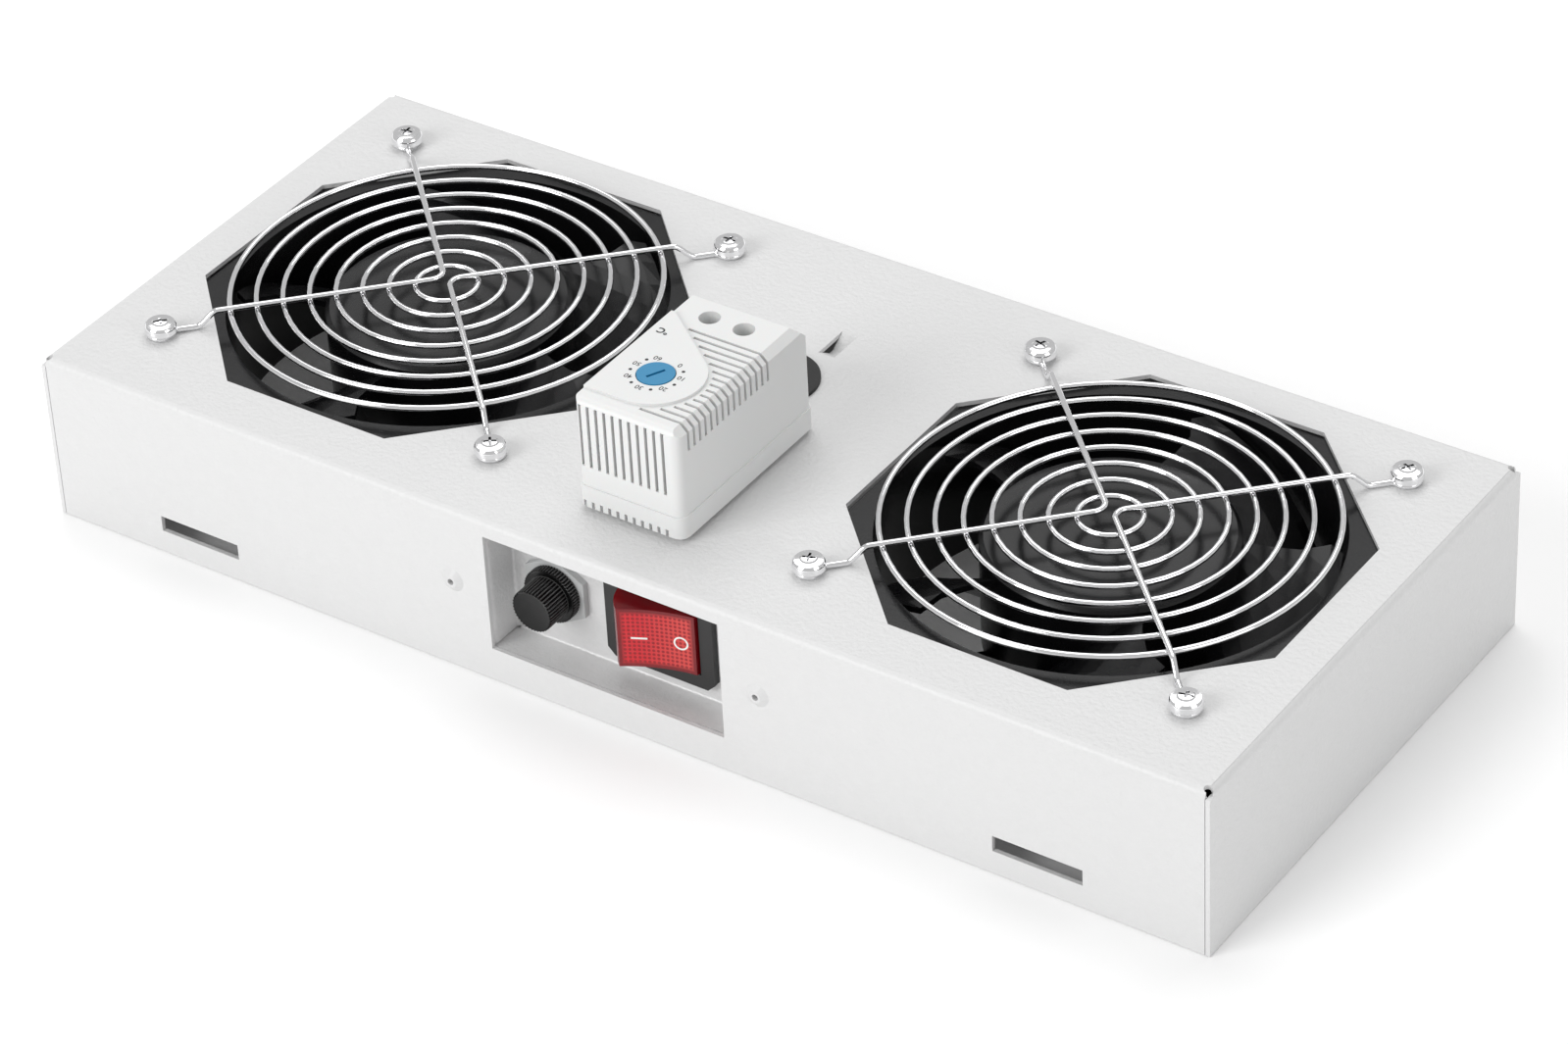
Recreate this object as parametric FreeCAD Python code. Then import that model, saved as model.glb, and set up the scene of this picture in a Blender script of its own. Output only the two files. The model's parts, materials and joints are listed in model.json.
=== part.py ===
import FreeCAD, Part
import math
import os

# Rack fan tray: a folded sheet pan with two 120 mm axial fans, a thermostat and a recessed control bay.
# Millimetres, +Z up. The origin is the middle of the open bottom rim: the rim lies in z = 0, X runs along
# the tray, and the control bay faces -Y.

V = FreeCAD.Vector
UP = V(0, 0, 1)
INTO = V(0, 1, 0)
FLATNESS = 1e-6
SMALL_SIDES = 12
HEAD_SIDES = 16
OVERCUT = 1.0

# --- tray ---
TRAY_LENGTH = 346.0
TRAY_DEPTH = 149.0
TRAY_HEIGHT = 48.5
SHEET = 1.2
BEND_INNER = 1.0
CORNER_GAP = 0.2
CORNER_SETBACK = 1.8
CORNER_RELIEF_R = 1.1
SLOT_LENGTH = 25.0
SLOT_WIDTH = 4.6
SLOT_X = 126.0
SLOT_Z = 9.0

# --- fans ---
FAN_SPREAD = 0.578
FAN_Y = 2.0
FAN_SIZE = 119.0
FAN_DEPTH = 38.0
FAN_SCREW_EDGE = 7.0
FAN_HOLE_R = 2.2
FAN_FLANGE = 3.5
FAN_CORNER_R = 4.0
FAN_WALL = 1.9
TIP_CLEARANCE = 1.2
CUTOUT_CLEARANCE = 0.75
STRUTS = 4
STRUT_WIDTH = 6.0
STRUT_HEIGHT = 5.0
MOTOR_PLATE_R = 30.0
MOTOR_PLATE = 5.0

# --- impeller and motor ---
HUB_R = 32.0
HUB_WALL = 2.4
HUB_RECESS = 0.3
HUB_HEIGHT = 31.0
HUB_CHAMFER = 1.2
BLADES = 5
BLADE_THICKNESS = 1.8
BLADE_TOP_GAP = 1.6
BLADE_DROP = 27.0
BLADE_CAMBER = 2.6
BLADE_STRIPS = 7
BLADE_HIGH_EDGE = ((0.0, 0.0), (0.3, -3.4), (0.6, -4.0), (0.88, -0.8), (1.0, -4.5))
BLADE_LOW_EDGE = (-55.0, -57.0, -57.0, -53.0, -48.5)
LEFT_PHASE = 65.0
RIGHT_PHASE = 28.0
SHAFT_R = 3.0
SHAFT_BOSS_R = 5.0
SHAFT_BOSS = 3.0
SHAFT_END_GAP = 0.3
RUNNING = 0.05
BEARING_R = 5.0
BEARING_TUBE_WALL = 1.6
BEARING_TUBE_GAP = 1.0
CORE_POLES = 4
CORE_ARM = 8.0
CORE_HEIGHT = 12.0
CORE_LIFT = 5.0
CORE_SHOE = 3.5
AIR_GAP = 0.8
COIL_WALL = 3.0
COIL_GAP = 0.4

# --- finger guards ---
WIRE = 1.6
RINGS = 8
RING_SIDES = 36
RING_SIDES_STEP = 3
RING_INSET = 1.6
RING_PITCH = 6.84
RING_LIFT = 2.4
DOGLEG_OUTSET = 4.0
DOGLEG_RUN = 4.6
SPOKE_BEND = 3.5
APEX_OFFSET = 2.0
NECK_BEND = 2.0
EYE_GAP = 0.3
EYE_SWEEP = 250.0
APEX_STEPS = 2
NECK_STEPS = 2
EYE_STEPS = 9
SCREW_R = 2.0
SCREW_HEAD_R = 4.25
SCREW_HEAD = 2.9
SCREW_LENGTH = 12.0
SCREW_FACE_R = 2.4
NUT_FLATS = 7.0
NUT_HEIGHT = 3.2

# --- control bay ---
BAY_X = 1.9
BAY_Z = 26.9
BAY_WIDTH = 69.8
BAY_HEIGHT = 34.4
BAY_DEPTH = 11.0
BRACKET_SHEET = 1.0
BRACKET_BEND = 0.8
BRACKET_EAR = 17.0
BRACKET_TOP_GAP = 0.1
FLOOR_GAP = 0.2
RIVET_PITCH = 91.0
RIVET_R = 1.6
RIVET_HEAD_R = 3.3
RIVET_HEAD = 1.0
RIVET_TAIL_R = 2.4
RIVET_TAIL = 2.0
RIVET_BORE_R = 0.9
RIVET_CLEARANCE = 0.1

# --- fuse holder ---
FUSE_X = -20.9
FUSE_NUT_FLATS = 17.5
FUSE_NUT = 1.8
FUSE_THREAD_R = 6.0
FUSE_HOLE_CLEARANCE = 0.15
FUSE_SHOULDER_R = 8.5
FUSE_SHOULDER = 2.5
FUSE_BARREL_LENGTH = 33.0
FUSE_BARREL_R = 6.4
FUSE_PLUG_R = 4.4
PLUG_CLEARANCE = 0.1
CARRIER_R = 3.4
CARRIER_WALL = 0.8
CARTRIDGE_WALL = 0.5
CONTACT_THICKNESS = 1.0
FUSE_PLUG_LENGTH = 8.0
FUSE_SKIRT_R = 7.7
FUSE_SKIRT = 2.6
FUSE_GRIP_R = 5.8
GRIP_SIDES = 15
FUSE_GRIP = 7.2
FUSE_GAP = 0.2
CARTRIDGE_R = 2.6
CARTRIDGE_LENGTH = 20.0
CARTRIDGE_CAP = 5.0
GLASS_R = 2.35
CHAMBER_CLEARANCE = 0.4
CARTRIDGE_SOCKET = 5.5
LUG_WIDTH = 4.0
LUG_THICKNESS = 0.8
LUG_LENGTH = 8.0

# --- rocker switch ---
SWITCH_X = 10.4
BEZEL_WIDTH = 32.0
BEZEL_HEIGHT = 26.0
BEZEL_DEPTH = 2.0
BEZEL_CHAMFER = 2.2
SWITCH_BODY_WIDTH = 28.0
SWITCH_BODY_HEIGHT = 22.0
SWITCH_BODY_DEPTH = 20.0
SWITCH_CLEARANCE = 0.15
WELL_DEPTH = 9.0
SNAP_PROUD = 0.9
SNAP_LENGTH = 5.0
SNAP_WIDTH = 8.0
PIVOT_DEPTH = 1.9
PIVOT_R = 1.2
PIVOT_LENGTH = 1.3
ROCKER_HALF = 9.8
ROCKER_RISE = 6.4
ROCKER_DISH = 1.1
ROCKER_HEIGHT = 17.4
ROCKER_SKIRT = 4.4
ROCKER_TILT = 20.0
ROCKER_GAP = 0.3
ROCKER_WALL = 2.0
LAMP_R = 1.6
LAMP_LENGTH = 9.0
LAMP_LEG_R = 0.5
TAB_WIDTH = 6.3
TAB_THICKNESS = 0.8
TAB_LENGTH = 8.5
TAB_SPREAD_X = 9.0
TAB_SPREAD_Z = 5.5

# --- thermostat ---
THERMO_X = 0.0
THERMO_Y = -28.8
THERMO_WIDTH = 30.8
THERMO_LENGTH = 56.8
THERMO_STANDOFF = 1.5
THERMO_BASE_HEIGHT = 6.2
THERMO_COVER_HEIGHT = 25.2
THERMO_LIP = 0.4
THERMO_WALL = 1.6
THERMO_CORNER = 2.5
THERMO_FLOOR = 2.0
FRONT_EDGE_R = 2.0
PLATEAU_RAISE = 0.8
PLATEAU_R = 12.7
PLATEAU_REAR = 13.8
PLATEAU_CORNER = 1.0
LOUVRE_MARGIN = 1.0
SIDE_CHAMFER = 2.0
REAR_CHAMFER = 5.5
DIAL_X = -2.9
DIAL_Y = -10.8
DIAL_R = 4.8
DIAL_HEAD = 1.4
DIAL_PROUD = 0.2
DIAL_GAP = 0.2
DIAL_COLLAR_R = 2.8
DIAL_COLLAR = 2.0
DIAL_STEM_END = 4.0
DIAL_STEM_R = 2.0
DIAL_SLOT = 0.8
DIAL_SLOT_LENGTH = 5.2
DIAL_ZERO = 62.7
LOUVRES = 15
LOUVRE_PITCH = 2.42
LOUVRE_WIDTH = 0.9
LOUVRE_FIRST_Y = -23.8
LOUVRE_SIDE_DROP = 7.4
GRILLE_SLOTS = 11
GRILLE_FIRST_X = -13.5
GRILLE_PITCH = 2.44
GRILLE_WIDTH = 0.9
GRILLE_LENGTH = 18.0
GRILLE_TOP = 1.4
FOOT_SLOT_HEIGHT = 1.9
WELL_R = 2.8
WELL_WALL = 0.9
WELL_END_GAP = 0.3
WELL_SPACING = 10.2
WELL_X = -1.0
WELL_Y = 16.8
PEDESTAL_HEIGHT = 10.0
PEDESTAL_WIDTH = 20.0
TERMINAL_WIDTH = 7.0
TERMINAL_LENGTH = 9.0
TERMINAL_HEIGHT = 11.0
TERMINAL_SCREW_R = 2.4
TERMINAL_SCREW = 2.0
RAIL_WIDTH = 35.0
HOOK_WIDTH = 12.0
HOOK_THICKNESS = 2.0
HOOK_GRIP = 1.5
HOOK_CLEARANCE = 0.15
FOOT_WIDTH = 3.0
BIMETAL_THICKNESS = 0.8
BIMETAL_WIDTH = 6.0
BIMETAL_LENGTH = 14.0
BIMETAL_FOOT = 6.0

# --- cable entries, terminal block and earth ---
GROMMET_X = -5.5
GROMMET_R = 12.0
GROMMET_GROOVE_R = 10.0
GROMMET_BORE_R = 6.5
GROMMET_BEAD = 1.0
GROMMET_TO_THERMOSTAT = 0.9
BRIDGE_TO_GROMMET = 21.2
BRIDGE_WIDTH = 4.6
BRIDGE_LENGTH = 11.0
BRIDGE_DROP = 3.0
BRIDGE_RUN = 4.6
BRIDGE_SLIT = 0.1
BLOCK_X = 4.0
BLOCK_Z = 26.0
BLOCK_LENGTH = 34.0
BLOCK_HEIGHT = 17.0
BLOCK_DEPTH = 14.0
BLOCK_POLES = 3
BLOCK_SCREW_R = 1.5
BLOCK_SCREW_HEAD_R = 3.0
BLOCK_SCREW_HEAD = 1.8
BLOCK_SCREW_PITCH = 11.0
BLOCK_STEP = 4.0
SLEEVE_R = 2.5
SLEEVE_BORE_R = 1.6
INLET_X = 36.0
INLET_R = 10.0
INLET_GROOVE_R = 8.0
INLET_BORE_R = 4.5
EARTH_X = -32.0
EARTH_R = 2.0
EARTH_LENGTH = 12.0


# --- places that follow from the sizes above ---
FRONT = -TRAY_DEPTH / 2
REAR = TRAY_DEPTH / 2
PLATE_TOP = TRAY_HEIGHT
PLATE_UNDER = TRAY_HEIGHT - SHEET
FAN_X = FAN_SPREAD * TRAY_LENGTH / 2
FAN_PITCH = FAN_SIZE - 2 * FAN_SCREW_EDGE
FANS = {"left": (-FAN_X, LEFT_PHASE), "right": (FAN_X, RIGHT_PHASE)}
BORE_R = FAN_SIZE / 2 - FAN_WALL
TIP_R = BORE_R - TIP_CLEARANCE
RING_OUTER = BORE_R - RING_INSET
FAN_TOP = PLATE_UNDER
FAN_BOTTOM = FAN_TOP - FAN_DEPTH
HUB_TOP = FAN_TOP - HUB_RECESS
HUB_INNER_R = HUB_R - HUB_WALL
TUBE_BORE_R = BEARING_R
TUBE_R = TUBE_BORE_R + BEARING_TUBE_WALL
MOTOR_FLOOR = FAN_BOTTOM + MOTOR_PLATE
TUBE_TOP = HUB_TOP - HUB_WALL - SHAFT_BOSS - BEARING_TUBE_GAP
CORE_R = HUB_INNER_R - AIR_GAP
CORE_BOTTOM = MOTOR_FLOOR + CORE_LIFT
WALL_FRONT = FRONT + BAY_DEPTH
WALL_BACK = WALL_FRONT + BRACKET_SHEET
BAY_FLOOR = BAY_Z - BAY_HEIGHT / 2
FUSE_CENTRE = (BAY_X + FUSE_X, BAY_Z)
SWITCH_CENTRE = (BAY_X + SWITCH_X, BAY_Z)
THERMO_BACK = THERMO_Y + THERMO_LENGTH / 2
THERMO_FRONT = THERMO_Y - THERMO_LENGTH / 2
THERMO_BOTTOM = PLATE_TOP + THERMO_STANDOFF
PEDESTAL_TOP = THERMO_BOTTOM + THERMO_FLOOR + PEDESTAL_HEIGHT
THERMO_PARTING = THERMO_BOTTOM + THERMO_BASE_HEIGHT
THERMO_DECK = THERMO_PARTING + THERMO_COVER_HEIGHT
THERMO_TOP = THERMO_DECK + PLATEAU_RAISE
WELL_BOTTOM = PEDESTAL_TOP + TERMINAL_HEIGHT + TERMINAL_SCREW + WELL_END_GAP
GROMMET_Y = THERMO_BACK + GROMMET_TO_THERMOSTAT + GROMMET_R
BRIDGE_Y = GROMMET_Y + BRIDGE_TO_GROMMET


# --- shape helpers ---
def box(x0, x1, y0, y1, z0, z1):
    return Part.makeBox(x1 - x0, y1 - y0, z1 - z0, V(x0, y0, z0))


def cylinder(radius, base, axis, length):
    return Part.makeCylinder(radius, length, base, axis)


def tube(outer, inner, base, axis, length):
    return cylinder(outer, base, axis, length).cut(cylinder(inner, base, axis, length))


def joined(shapes):
    return shapes[0].multiFuse(shapes[1:]).removeSplitter()


def cut(shape, tools):
    return shape.cut(Part.makeCompound(tools)) if tools else shape


def face_of(points):
    return Part.Face(Part.makePolygon(points + [points[0]]))


def prism(points, z0, z1):
    """Polygon in plan, given as (x, y) pairs, raised from z0 to z1."""
    return face_of([V(x, y, z0) for x, y in points]).extrude(V(0, 0, z1 - z0))


def turned(profile, base, axis):
    """Solid of revolution about axis through base; the profile is (radius, distance along the axis) pairs."""
    side = axis.cross(V(1, 0, 0))
    if side.Length < 0.5:
        side = axis.cross(V(0, 1, 0))
    side.normalize()
    return face_of([base + side * r + axis * a for r, a in profile]).revolve(base, axis, 360)


def polygon_bar(flats, sides, base, axis, length, turn=0.0):
    """Regular bar of a given width across flats along axis; turn is the angle of the first corner from X."""
    radius = flats / 2 / math.cos(math.pi / sides)
    if abs(axis.z) > 0.5:
        across, up = V(1, 0, 0), V(0, 1, 0)
    else:
        across, up = V(1, 0, 0), V(0, 0, 1)
    corners = []
    for k in range(sides):
        angle = math.radians(turn + 360.0 * k / sides)
        corners.append(base + across * (radius * math.cos(angle)) + up * (radius * math.sin(angle)))
    return face_of(corners).extrude(axis * length)


def in_plan(u, v):
    return V(u, v, 0)


def in_side(u, v):
    return V(0, u, v)


def in_front(u, v):
    return V(u, 0, v)


def folded(points, thickness, inner_radius, place):
    """Cross-section of a bent strip whose mid line follows the points, with a round bend at each of them."""
    half = thickness / 2
    middle = inner_radius + half
    sides = {1: [], -1: []}
    starts = {side: None for side in sides}
    flat = [V(u, v, 0) for u, v in points]
    steps = [(b - a).normalize() for a, b in zip(flat, flat[1:])]
    normals = [V(-d.y, d.x, 0) for d in steps]
    for side in sides:
        starts[side] = flat[0] + normals[0] * (half * side)
    for i in range(1, len(flat) - 1):
        before, after = steps[i - 1], steps[i]
        way = 1 if before.cross(after).z > 0 else -1
        trim = middle * math.tan(before.getAngle(after) / 2)
        entry = flat[i] - before * trim
        leave = flat[i] + after * trim
        centre = entry + normals[i - 1] * (way * middle)
        mid = (entry + leave) * 0.5 - centre
        mid.normalize()
        for side in sides:
            radius = middle - way * side * half
            a = centre + (entry - centre) * (radius / middle)
            b = centre + (leave - centre) * (radius / middle)
            sides[side].append((starts[side], a))
            sides[side].append((a, centre + mid * radius, b))
            starts[side] = b
    for side in sides:
        sides[side].append((starts[side], flat[-1] + normals[-1] * (half * side)))
    run = sides[1] + [(sides[1][-1][-1], sides[-1][-1][-1])]
    run += [tuple(reversed(piece)) for piece in reversed(sides[-1])]
    run.append((sides[-1][0][0], sides[1][0][0]))
    edges = []
    for piece in run:
        ends = [place(p.x, p.y) for p in piece]
        edges.append(Part.LineSegment(*ends).toShape() if len(ends) == 2 else Part.Arc(*ends).toShape())
    return Part.Face(Part.Wire(Part.__sortEdges__(edges)))


def small_bar(radius, base, axis, length):
    """Twelve-sided bar inside a circle, for holes and fasteners of a few millimetres."""
    return polygon_bar(2 * radius * math.cos(math.pi / SMALL_SIDES), SMALL_SIDES, base, axis, length)


def small_hole(radius, base, axis, length):
    """Twelve-sided bar round a circle, so that a hole cut with it clears a round shank."""
    return polygon_bar(2 * radius, SMALL_SIDES, base, axis, length)


def end_faces(ring):
    """Closing faces of a ring of points: one flat face, or strips from side to side where it is curved."""
    normal = (ring[1] - ring[0]).cross(ring[-1] - ring[0]).normalize()
    if all(abs((p - ring[0]).dot(normal)) < FLATNESS for p in ring):
        return [face_of(ring)]
    return [face_of([ring[k], ring[k + 1], ring[-2 - k], ring[-1 - k]]) for k in range(len(ring) // 2 - 1)]


def skinned(rings):
    """Closed solid over a row of point rings: flat four-sided faces, or two triangles for a twisted one."""
    faces = end_faces(rings[0]) + end_faces(rings[-1])
    for near, far in zip(rings, rings[1:]):
        for k in range(len(near)):
            a, b, c, d = near[k - 1], near[k], far[k], far[k - 1]
            normal = (b - a).cross(c - a).normalize()
            if abs((d - a).dot(normal)) < FLATNESS:
                faces.append(face_of([a, b, c, d]))
            elif a.z + c.z > b.z + d.z:
                faces += [face_of([a, b, c]), face_of([a, c, d])]
            else:
                faces += [face_of([a, b, d]), face_of([b, c, d])]
    shell = Part.makeShell(faces)
    shell.sewShape()
    solid = Part.makeSolid(shell)
    if solid.Volume < 0:
        solid.reverse()
    return solid


def front_prism(points, y0, y1):
    """Polygon in front view, given as (x, z) pairs, between two depths."""
    return face_of([V(x, y0, z) for x, z in points]).extrude(V(0, y1 - y0, 0))


def side_prism(points, x0, x1):
    """Polygon in side view, given as (y, z) pairs, between two stations."""
    return face_of([V(x0, y, z) for y, z in points]).extrude(V(x1 - x0, 0, 0))


def rectangle(x0, x1, y0, y1, chamfer=0.0):
    c = chamfer
    if not c:
        return [(x0, y0), (x1, y0), (x1, y1), (x0, y1)]
    return [(x0 + c, y0), (x1 - c, y0), (x1, y0 + c), (x1, y1 - c),
            (x1 - c, y1), (x0 + c, y1), (x0, y1 - c), (x0, y0 + c)]


def rounded_block(x0, x1, y0, y1, z0, z1, radius):
    block = box(x0, x1, y0, y1, z0, z1)
    upright = [e for e in block.Edges if abs(e.tangentAt(e.FirstParameter).z) > 0.99]
    return block.makeFillet(radius, upright)


def polar(centre, radius, degrees, z=0.0):
    angle = math.radians(degrees)
    return V(centre[0] + radius * math.cos(angle), centre[1] + radius * math.sin(angle), z)


def circle_points(radius):
    return [polar((0, 0), radius, 360.0 * k / HEAD_SIDES) for k in range(HEAD_SIDES)]


def fan_screw_places():
    """Axes of the guard screws: four round each fan."""
    half = FAN_PITCH / 2
    return [(side * FAN_X + i * half, FAN_Y + j * half) for side in (-1, 1) for i in (-1, 1) for j in (-1, 1)]


# --- sheet metal ---
def octagon(centre_x):
    radius = (FAN_SIZE / 2 + CUTOUT_CLEARANCE) / math.cos(math.pi / 8)
    corners = [polar((centre_x, FAN_Y), radius, 22.5 + 45 * k) for k in range(8)]
    return prism([(p.x, p.y) for p in corners], PLATE_UNDER - SHEET, PLATE_TOP + SHEET)


def flange_holes():
    """Slots on both long flanges, then the openings for the bay, rivets, inlet and terminal block."""
    holes = []
    for y0 in (FRONT - SHEET, REAR - 2 * SHEET):
        for x in (-SLOT_X, SLOT_X):
            holes.append(box(x - SLOT_LENGTH / 2, x + SLOT_LENGTH / 2, y0, y0 + 3 * SHEET,
                             SLOT_Z - SLOT_WIDTH / 2, SLOT_Z + SLOT_WIDTH / 2))
    holes.append(box(BAY_X - BAY_WIDTH / 2, BAY_X + BAY_WIDTH / 2, FRONT - SHEET, FRONT + 2 * SHEET,
                     BAY_Z - BAY_HEIGHT / 2, BAY_Z + BAY_HEIGHT / 2))
    holes += rivet_holes()
    holes.append(cylinder(INLET_GROOVE_R, V(INLET_X, REAR - 2 * SHEET, BLOCK_Z), INTO, 3 * SHEET))
    for x in block_screw_places():
        place = V(x, REAR - 2 * SHEET, BLOCK_Z)
        holes.append(cylinder(BLOCK_SCREW_R + RIVET_CLEARANCE, place, INTO, 3 * SHEET))
    return holes


def plate_holes():
    holes = [octagon(-FAN_X), octagon(FAN_X)]
    for x, y in fan_screw_places():
        holes.append(small_hole(FAN_HOLE_R, V(x, y, PLATE_UNDER - SHEET), UP, 3 * SHEET))
    holes.append(cylinder(GROMMET_GROOVE_R, V(GROMMET_X, GROMMET_Y, PLATE_UNDER - SHEET), UP, 3 * SHEET))
    for way in (-1, 1):
        near = THERMO_Y + way * RAIL_WIDTH / 2
        far = near + way * (HOOK_THICKNESS + 2 * HOOK_CLEARANCE)
        half = HOOK_WIDTH / 2 + HOOK_CLEARANCE
        holes.append(box(THERMO_X - half, THERMO_X + half, min(near, far), max(near, far),
                         PLATE_UNDER - SHEET, PLATE_TOP + SHEET))
    return holes


def tie_bridge():
    """Strip lanced out of the plate and pressed down, for a cable tie to pass under."""
    half = BRIDGE_LENGTH / 2
    level = PLATE_TOP - SHEET / 2
    low = level - BRIDGE_DROP
    path = [(-half - SHEET, level), (-half, level), (-half + BRIDGE_RUN, low),
            (half - BRIDGE_RUN, low), (half, level), (half + SHEET, level)]
    section = folded([(BRIDGE_Y + y, z) for y, z in path], SHEET, SHEET / 4, in_side)
    section.translate(V(-BRIDGE_WIDTH / 2, 0, 0))
    return section.extrude(V(BRIDGE_WIDTH, 0, 0))


def corner_tabs(start):
    """Ends of the short flanges below their bends, run out past the long flanges to close the corners."""
    tabs = []
    top = TRAY_HEIGHT - SHEET - BEND_INNER
    for x0 in (-TRAY_LENGTH / 2, TRAY_LENGTH / 2 - SHEET):
        for y0, y1 in ((FRONT, SHEET - start), (start - SHEET, REAR)):
            tabs.append(box(x0, x0 + SHEET, y0, y1, 0, top))
    return tabs


def tray():
    half = SHEET / 2
    level = TRAY_HEIGHT - half
    y = TRAY_DEPTH / 2 - half
    x = TRAY_LENGTH / 2 - half
    length = TRAY_LENGTH - 2 * (SHEET + CORNER_GAP)
    depth = TRAY_DEPTH - 2 * CORNER_SETBACK
    long_fold = folded([(-y, 0), (-y, level), (y, level), (y, 0)], SHEET, BEND_INNER, in_side)
    long_fold.translate(V(-length / 2, 0, 0))
    short_fold = folded([(-x, 0), (-x, level), (x, level), (x, 0)], SHEET, BEND_INNER, in_front)
    short_fold.translate(V(0, -depth / 2, 0))
    folds = [long_fold.extrude(V(length, 0, 0)), short_fold.extrude(V(0, depth, 0))]
    pan = joined(folds + corner_tabs(depth / 2))
    reliefs = []
    drop = BEND_INNER + SHEET
    for i in (-1, 1):
        for j in (-1, 1):
            corner = V(i * length / 2, j * depth / 2, TRAY_HEIGHT - drop)
            reliefs.append(cylinder(CORNER_RELIEF_R, corner, UP, 2 * drop))
    slit = box(-BRIDGE_WIDTH / 2 - BRIDGE_SLIT, BRIDGE_WIDTH / 2 + BRIDGE_SLIT,
               BRIDGE_Y - BRIDGE_LENGTH / 2, BRIDGE_Y + BRIDGE_LENGTH / 2,
               PLATE_UNDER - SHEET, PLATE_TOP + SHEET)
    pan = cut(pan, reliefs + flange_holes() + plate_holes() + [slit])
    return joined([pan, tie_bridge()])


def rivet_places():
    return [BAY_X - RIVET_PITCH / 2, BAY_X + RIVET_PITCH / 2]


def rivet_holes():
    length = SHEET + BRACKET_SHEET + 2 * SHEET
    radius = RIVET_R + RIVET_CLEARANCE
    return [cylinder(radius, V(x, FRONT - SHEET, BAY_Z), INTO, length) for x in rivet_places()]


def control_bracket():
    """Recess of the control bay: back wall, side walls and ears in one fold, the floor bent forwards."""
    half = BRACKET_SHEET / 2
    ear = FRONT + SHEET + half
    wall = WALL_FRONT + half
    side = BAY_WIDTH / 2 + half
    top = PLATE_UNDER - BEND_INNER - BRACKET_TOP_GAP
    plan = [(-side - BRACKET_EAR, ear), (-side, ear), (-side, wall),
            (side, wall), (side, ear), (side + BRACKET_EAR, ear)]
    hat = folded([(BAY_X + u, v) for u, v in plan], BRACKET_SHEET, BRACKET_BEND, in_plan)
    hat.translate(V(0, 0, BAY_FLOOR + FLOOR_GAP))
    hat = hat.extrude(V(0, 0, top - BAY_FLOOR - FLOOR_GAP))
    low = BAY_FLOOR - half
    strip = [(wall, top), (wall, low), (FRONT + SHEET + FLOOR_GAP, low)]
    profile = folded(strip, BRACKET_SHEET, BRACKET_BEND, in_side)
    reach = BAY_WIDTH / 2 - BRACKET_BEND - FLOOR_GAP
    profile.translate(V(BAY_X - reach, 0, 0))
    outer = BAY_WIDTH / 2 + BRACKET_SHEET
    floor = box(BAY_X - outer, BAY_X + outer, FRONT + SHEET + FLOOR_GAP, WALL_FRONT - BRACKET_BEND,
                BAY_FLOOR - BRACKET_SHEET, BAY_FLOOR)
    body = joined([hat, profile.extrude(V(2 * reach, 0, 0)), floor])
    x, z = FUSE_CENTRE
    start = WALL_FRONT - BRACKET_SHEET
    openings = [cylinder(FUSE_THREAD_R + FUSE_HOLE_CLEARANCE, V(x, start, z), INTO, 3 * BRACKET_SHEET)]
    x, z = SWITCH_CENTRE
    wide = SWITCH_BODY_WIDTH / 2 + SWITCH_CLEARANCE
    high = SWITCH_BODY_HEIGHT / 2 + SWITCH_CLEARANCE
    openings.append(box(x - wide, x + wide, start, WALL_BACK + BRACKET_SHEET, z - high, z + high))
    return cut(body, openings + rivet_holes())


def bracket_rivets():
    """Blind rivets: low coned head outside, shank through flange and ear, swaged tail inside."""
    grip = SHEET + BRACKET_SHEET
    rivets = []
    for x in rivet_places():
        seat = V(x, FRONT, BAY_Z)
        rim = [seat + INTO.cross(UP) * p.x + UP * p.y for p in circle_points(RIVET_HEAD_R)]
        crown = [seat - INTO * RIVET_HEAD + (p - seat) * 0.5 for p in rim]
        body = joined([skinned([rim, crown]), small_bar(RIVET_R, seat, INTO, grip),
                       small_bar(RIVET_TAIL_R, seat + INTO * grip, INTO, RIVET_TAIL)])
        rivets.append(body.cut(small_bar(RIVET_BORE_R, seat - INTO * RIVET_HEAD, INTO, RIVET_HEAD + grip)))
    return rivets


# --- fans ---
def fan_frame(centre_x):
    """Square frame in one casting: two flanges, the barrel, and the motor plate on its struts."""
    half = FAN_SIZE / 2
    x0, x1, y0, y1 = centre_x - half, centre_x + half, FAN_Y - half, FAN_Y + half
    base = V(centre_x, FAN_Y, FAN_BOTTOM)
    flanges = [rounded_block(x0, x1, y0, y1, z, z + FAN_FLANGE, FAN_CORNER_R)
               for z in (FAN_BOTTOM, FAN_TOP - FAN_FLANGE)]
    body = joined(flanges + [cylinder(half, base, UP, FAN_DEPTH)])
    body = body.cut(cylinder(BORE_R, base, UP, FAN_DEPTH))
    inside = [cylinder(MOTOR_PLATE_R, base, UP, MOTOR_PLATE),
              cylinder(TUBE_R, base, UP, TUBE_TOP - FAN_BOTTOM)]
    for k in range(STRUTS):
        strut = box(TUBE_R, BORE_R + FAN_WALL / 2, -STRUT_WIDTH / 2, STRUT_WIDTH / 2, 0, STRUT_HEIGHT)
        strut.rotate(V(0, 0, 0), UP, 45 + 360.0 * k / STRUTS)
        strut.translate(base)
        inside.append(strut)
    body = joined([body] + inside)
    holes = [cylinder(TUBE_BORE_R, V(centre_x, FAN_Y, MOTOR_FLOOR), UP, FAN_DEPTH)]
    for x, y in fan_screw_places():
        if abs(x - centre_x) < FAN_SIZE:
            holes.append(small_hole(FAN_HOLE_R, V(x, y, FAN_BOTTOM), UP, FAN_DEPTH))
    return cut(body, holes)


def fan_frames():
    return [fan_frame(x) for x, _ in FANS.values()]


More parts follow.
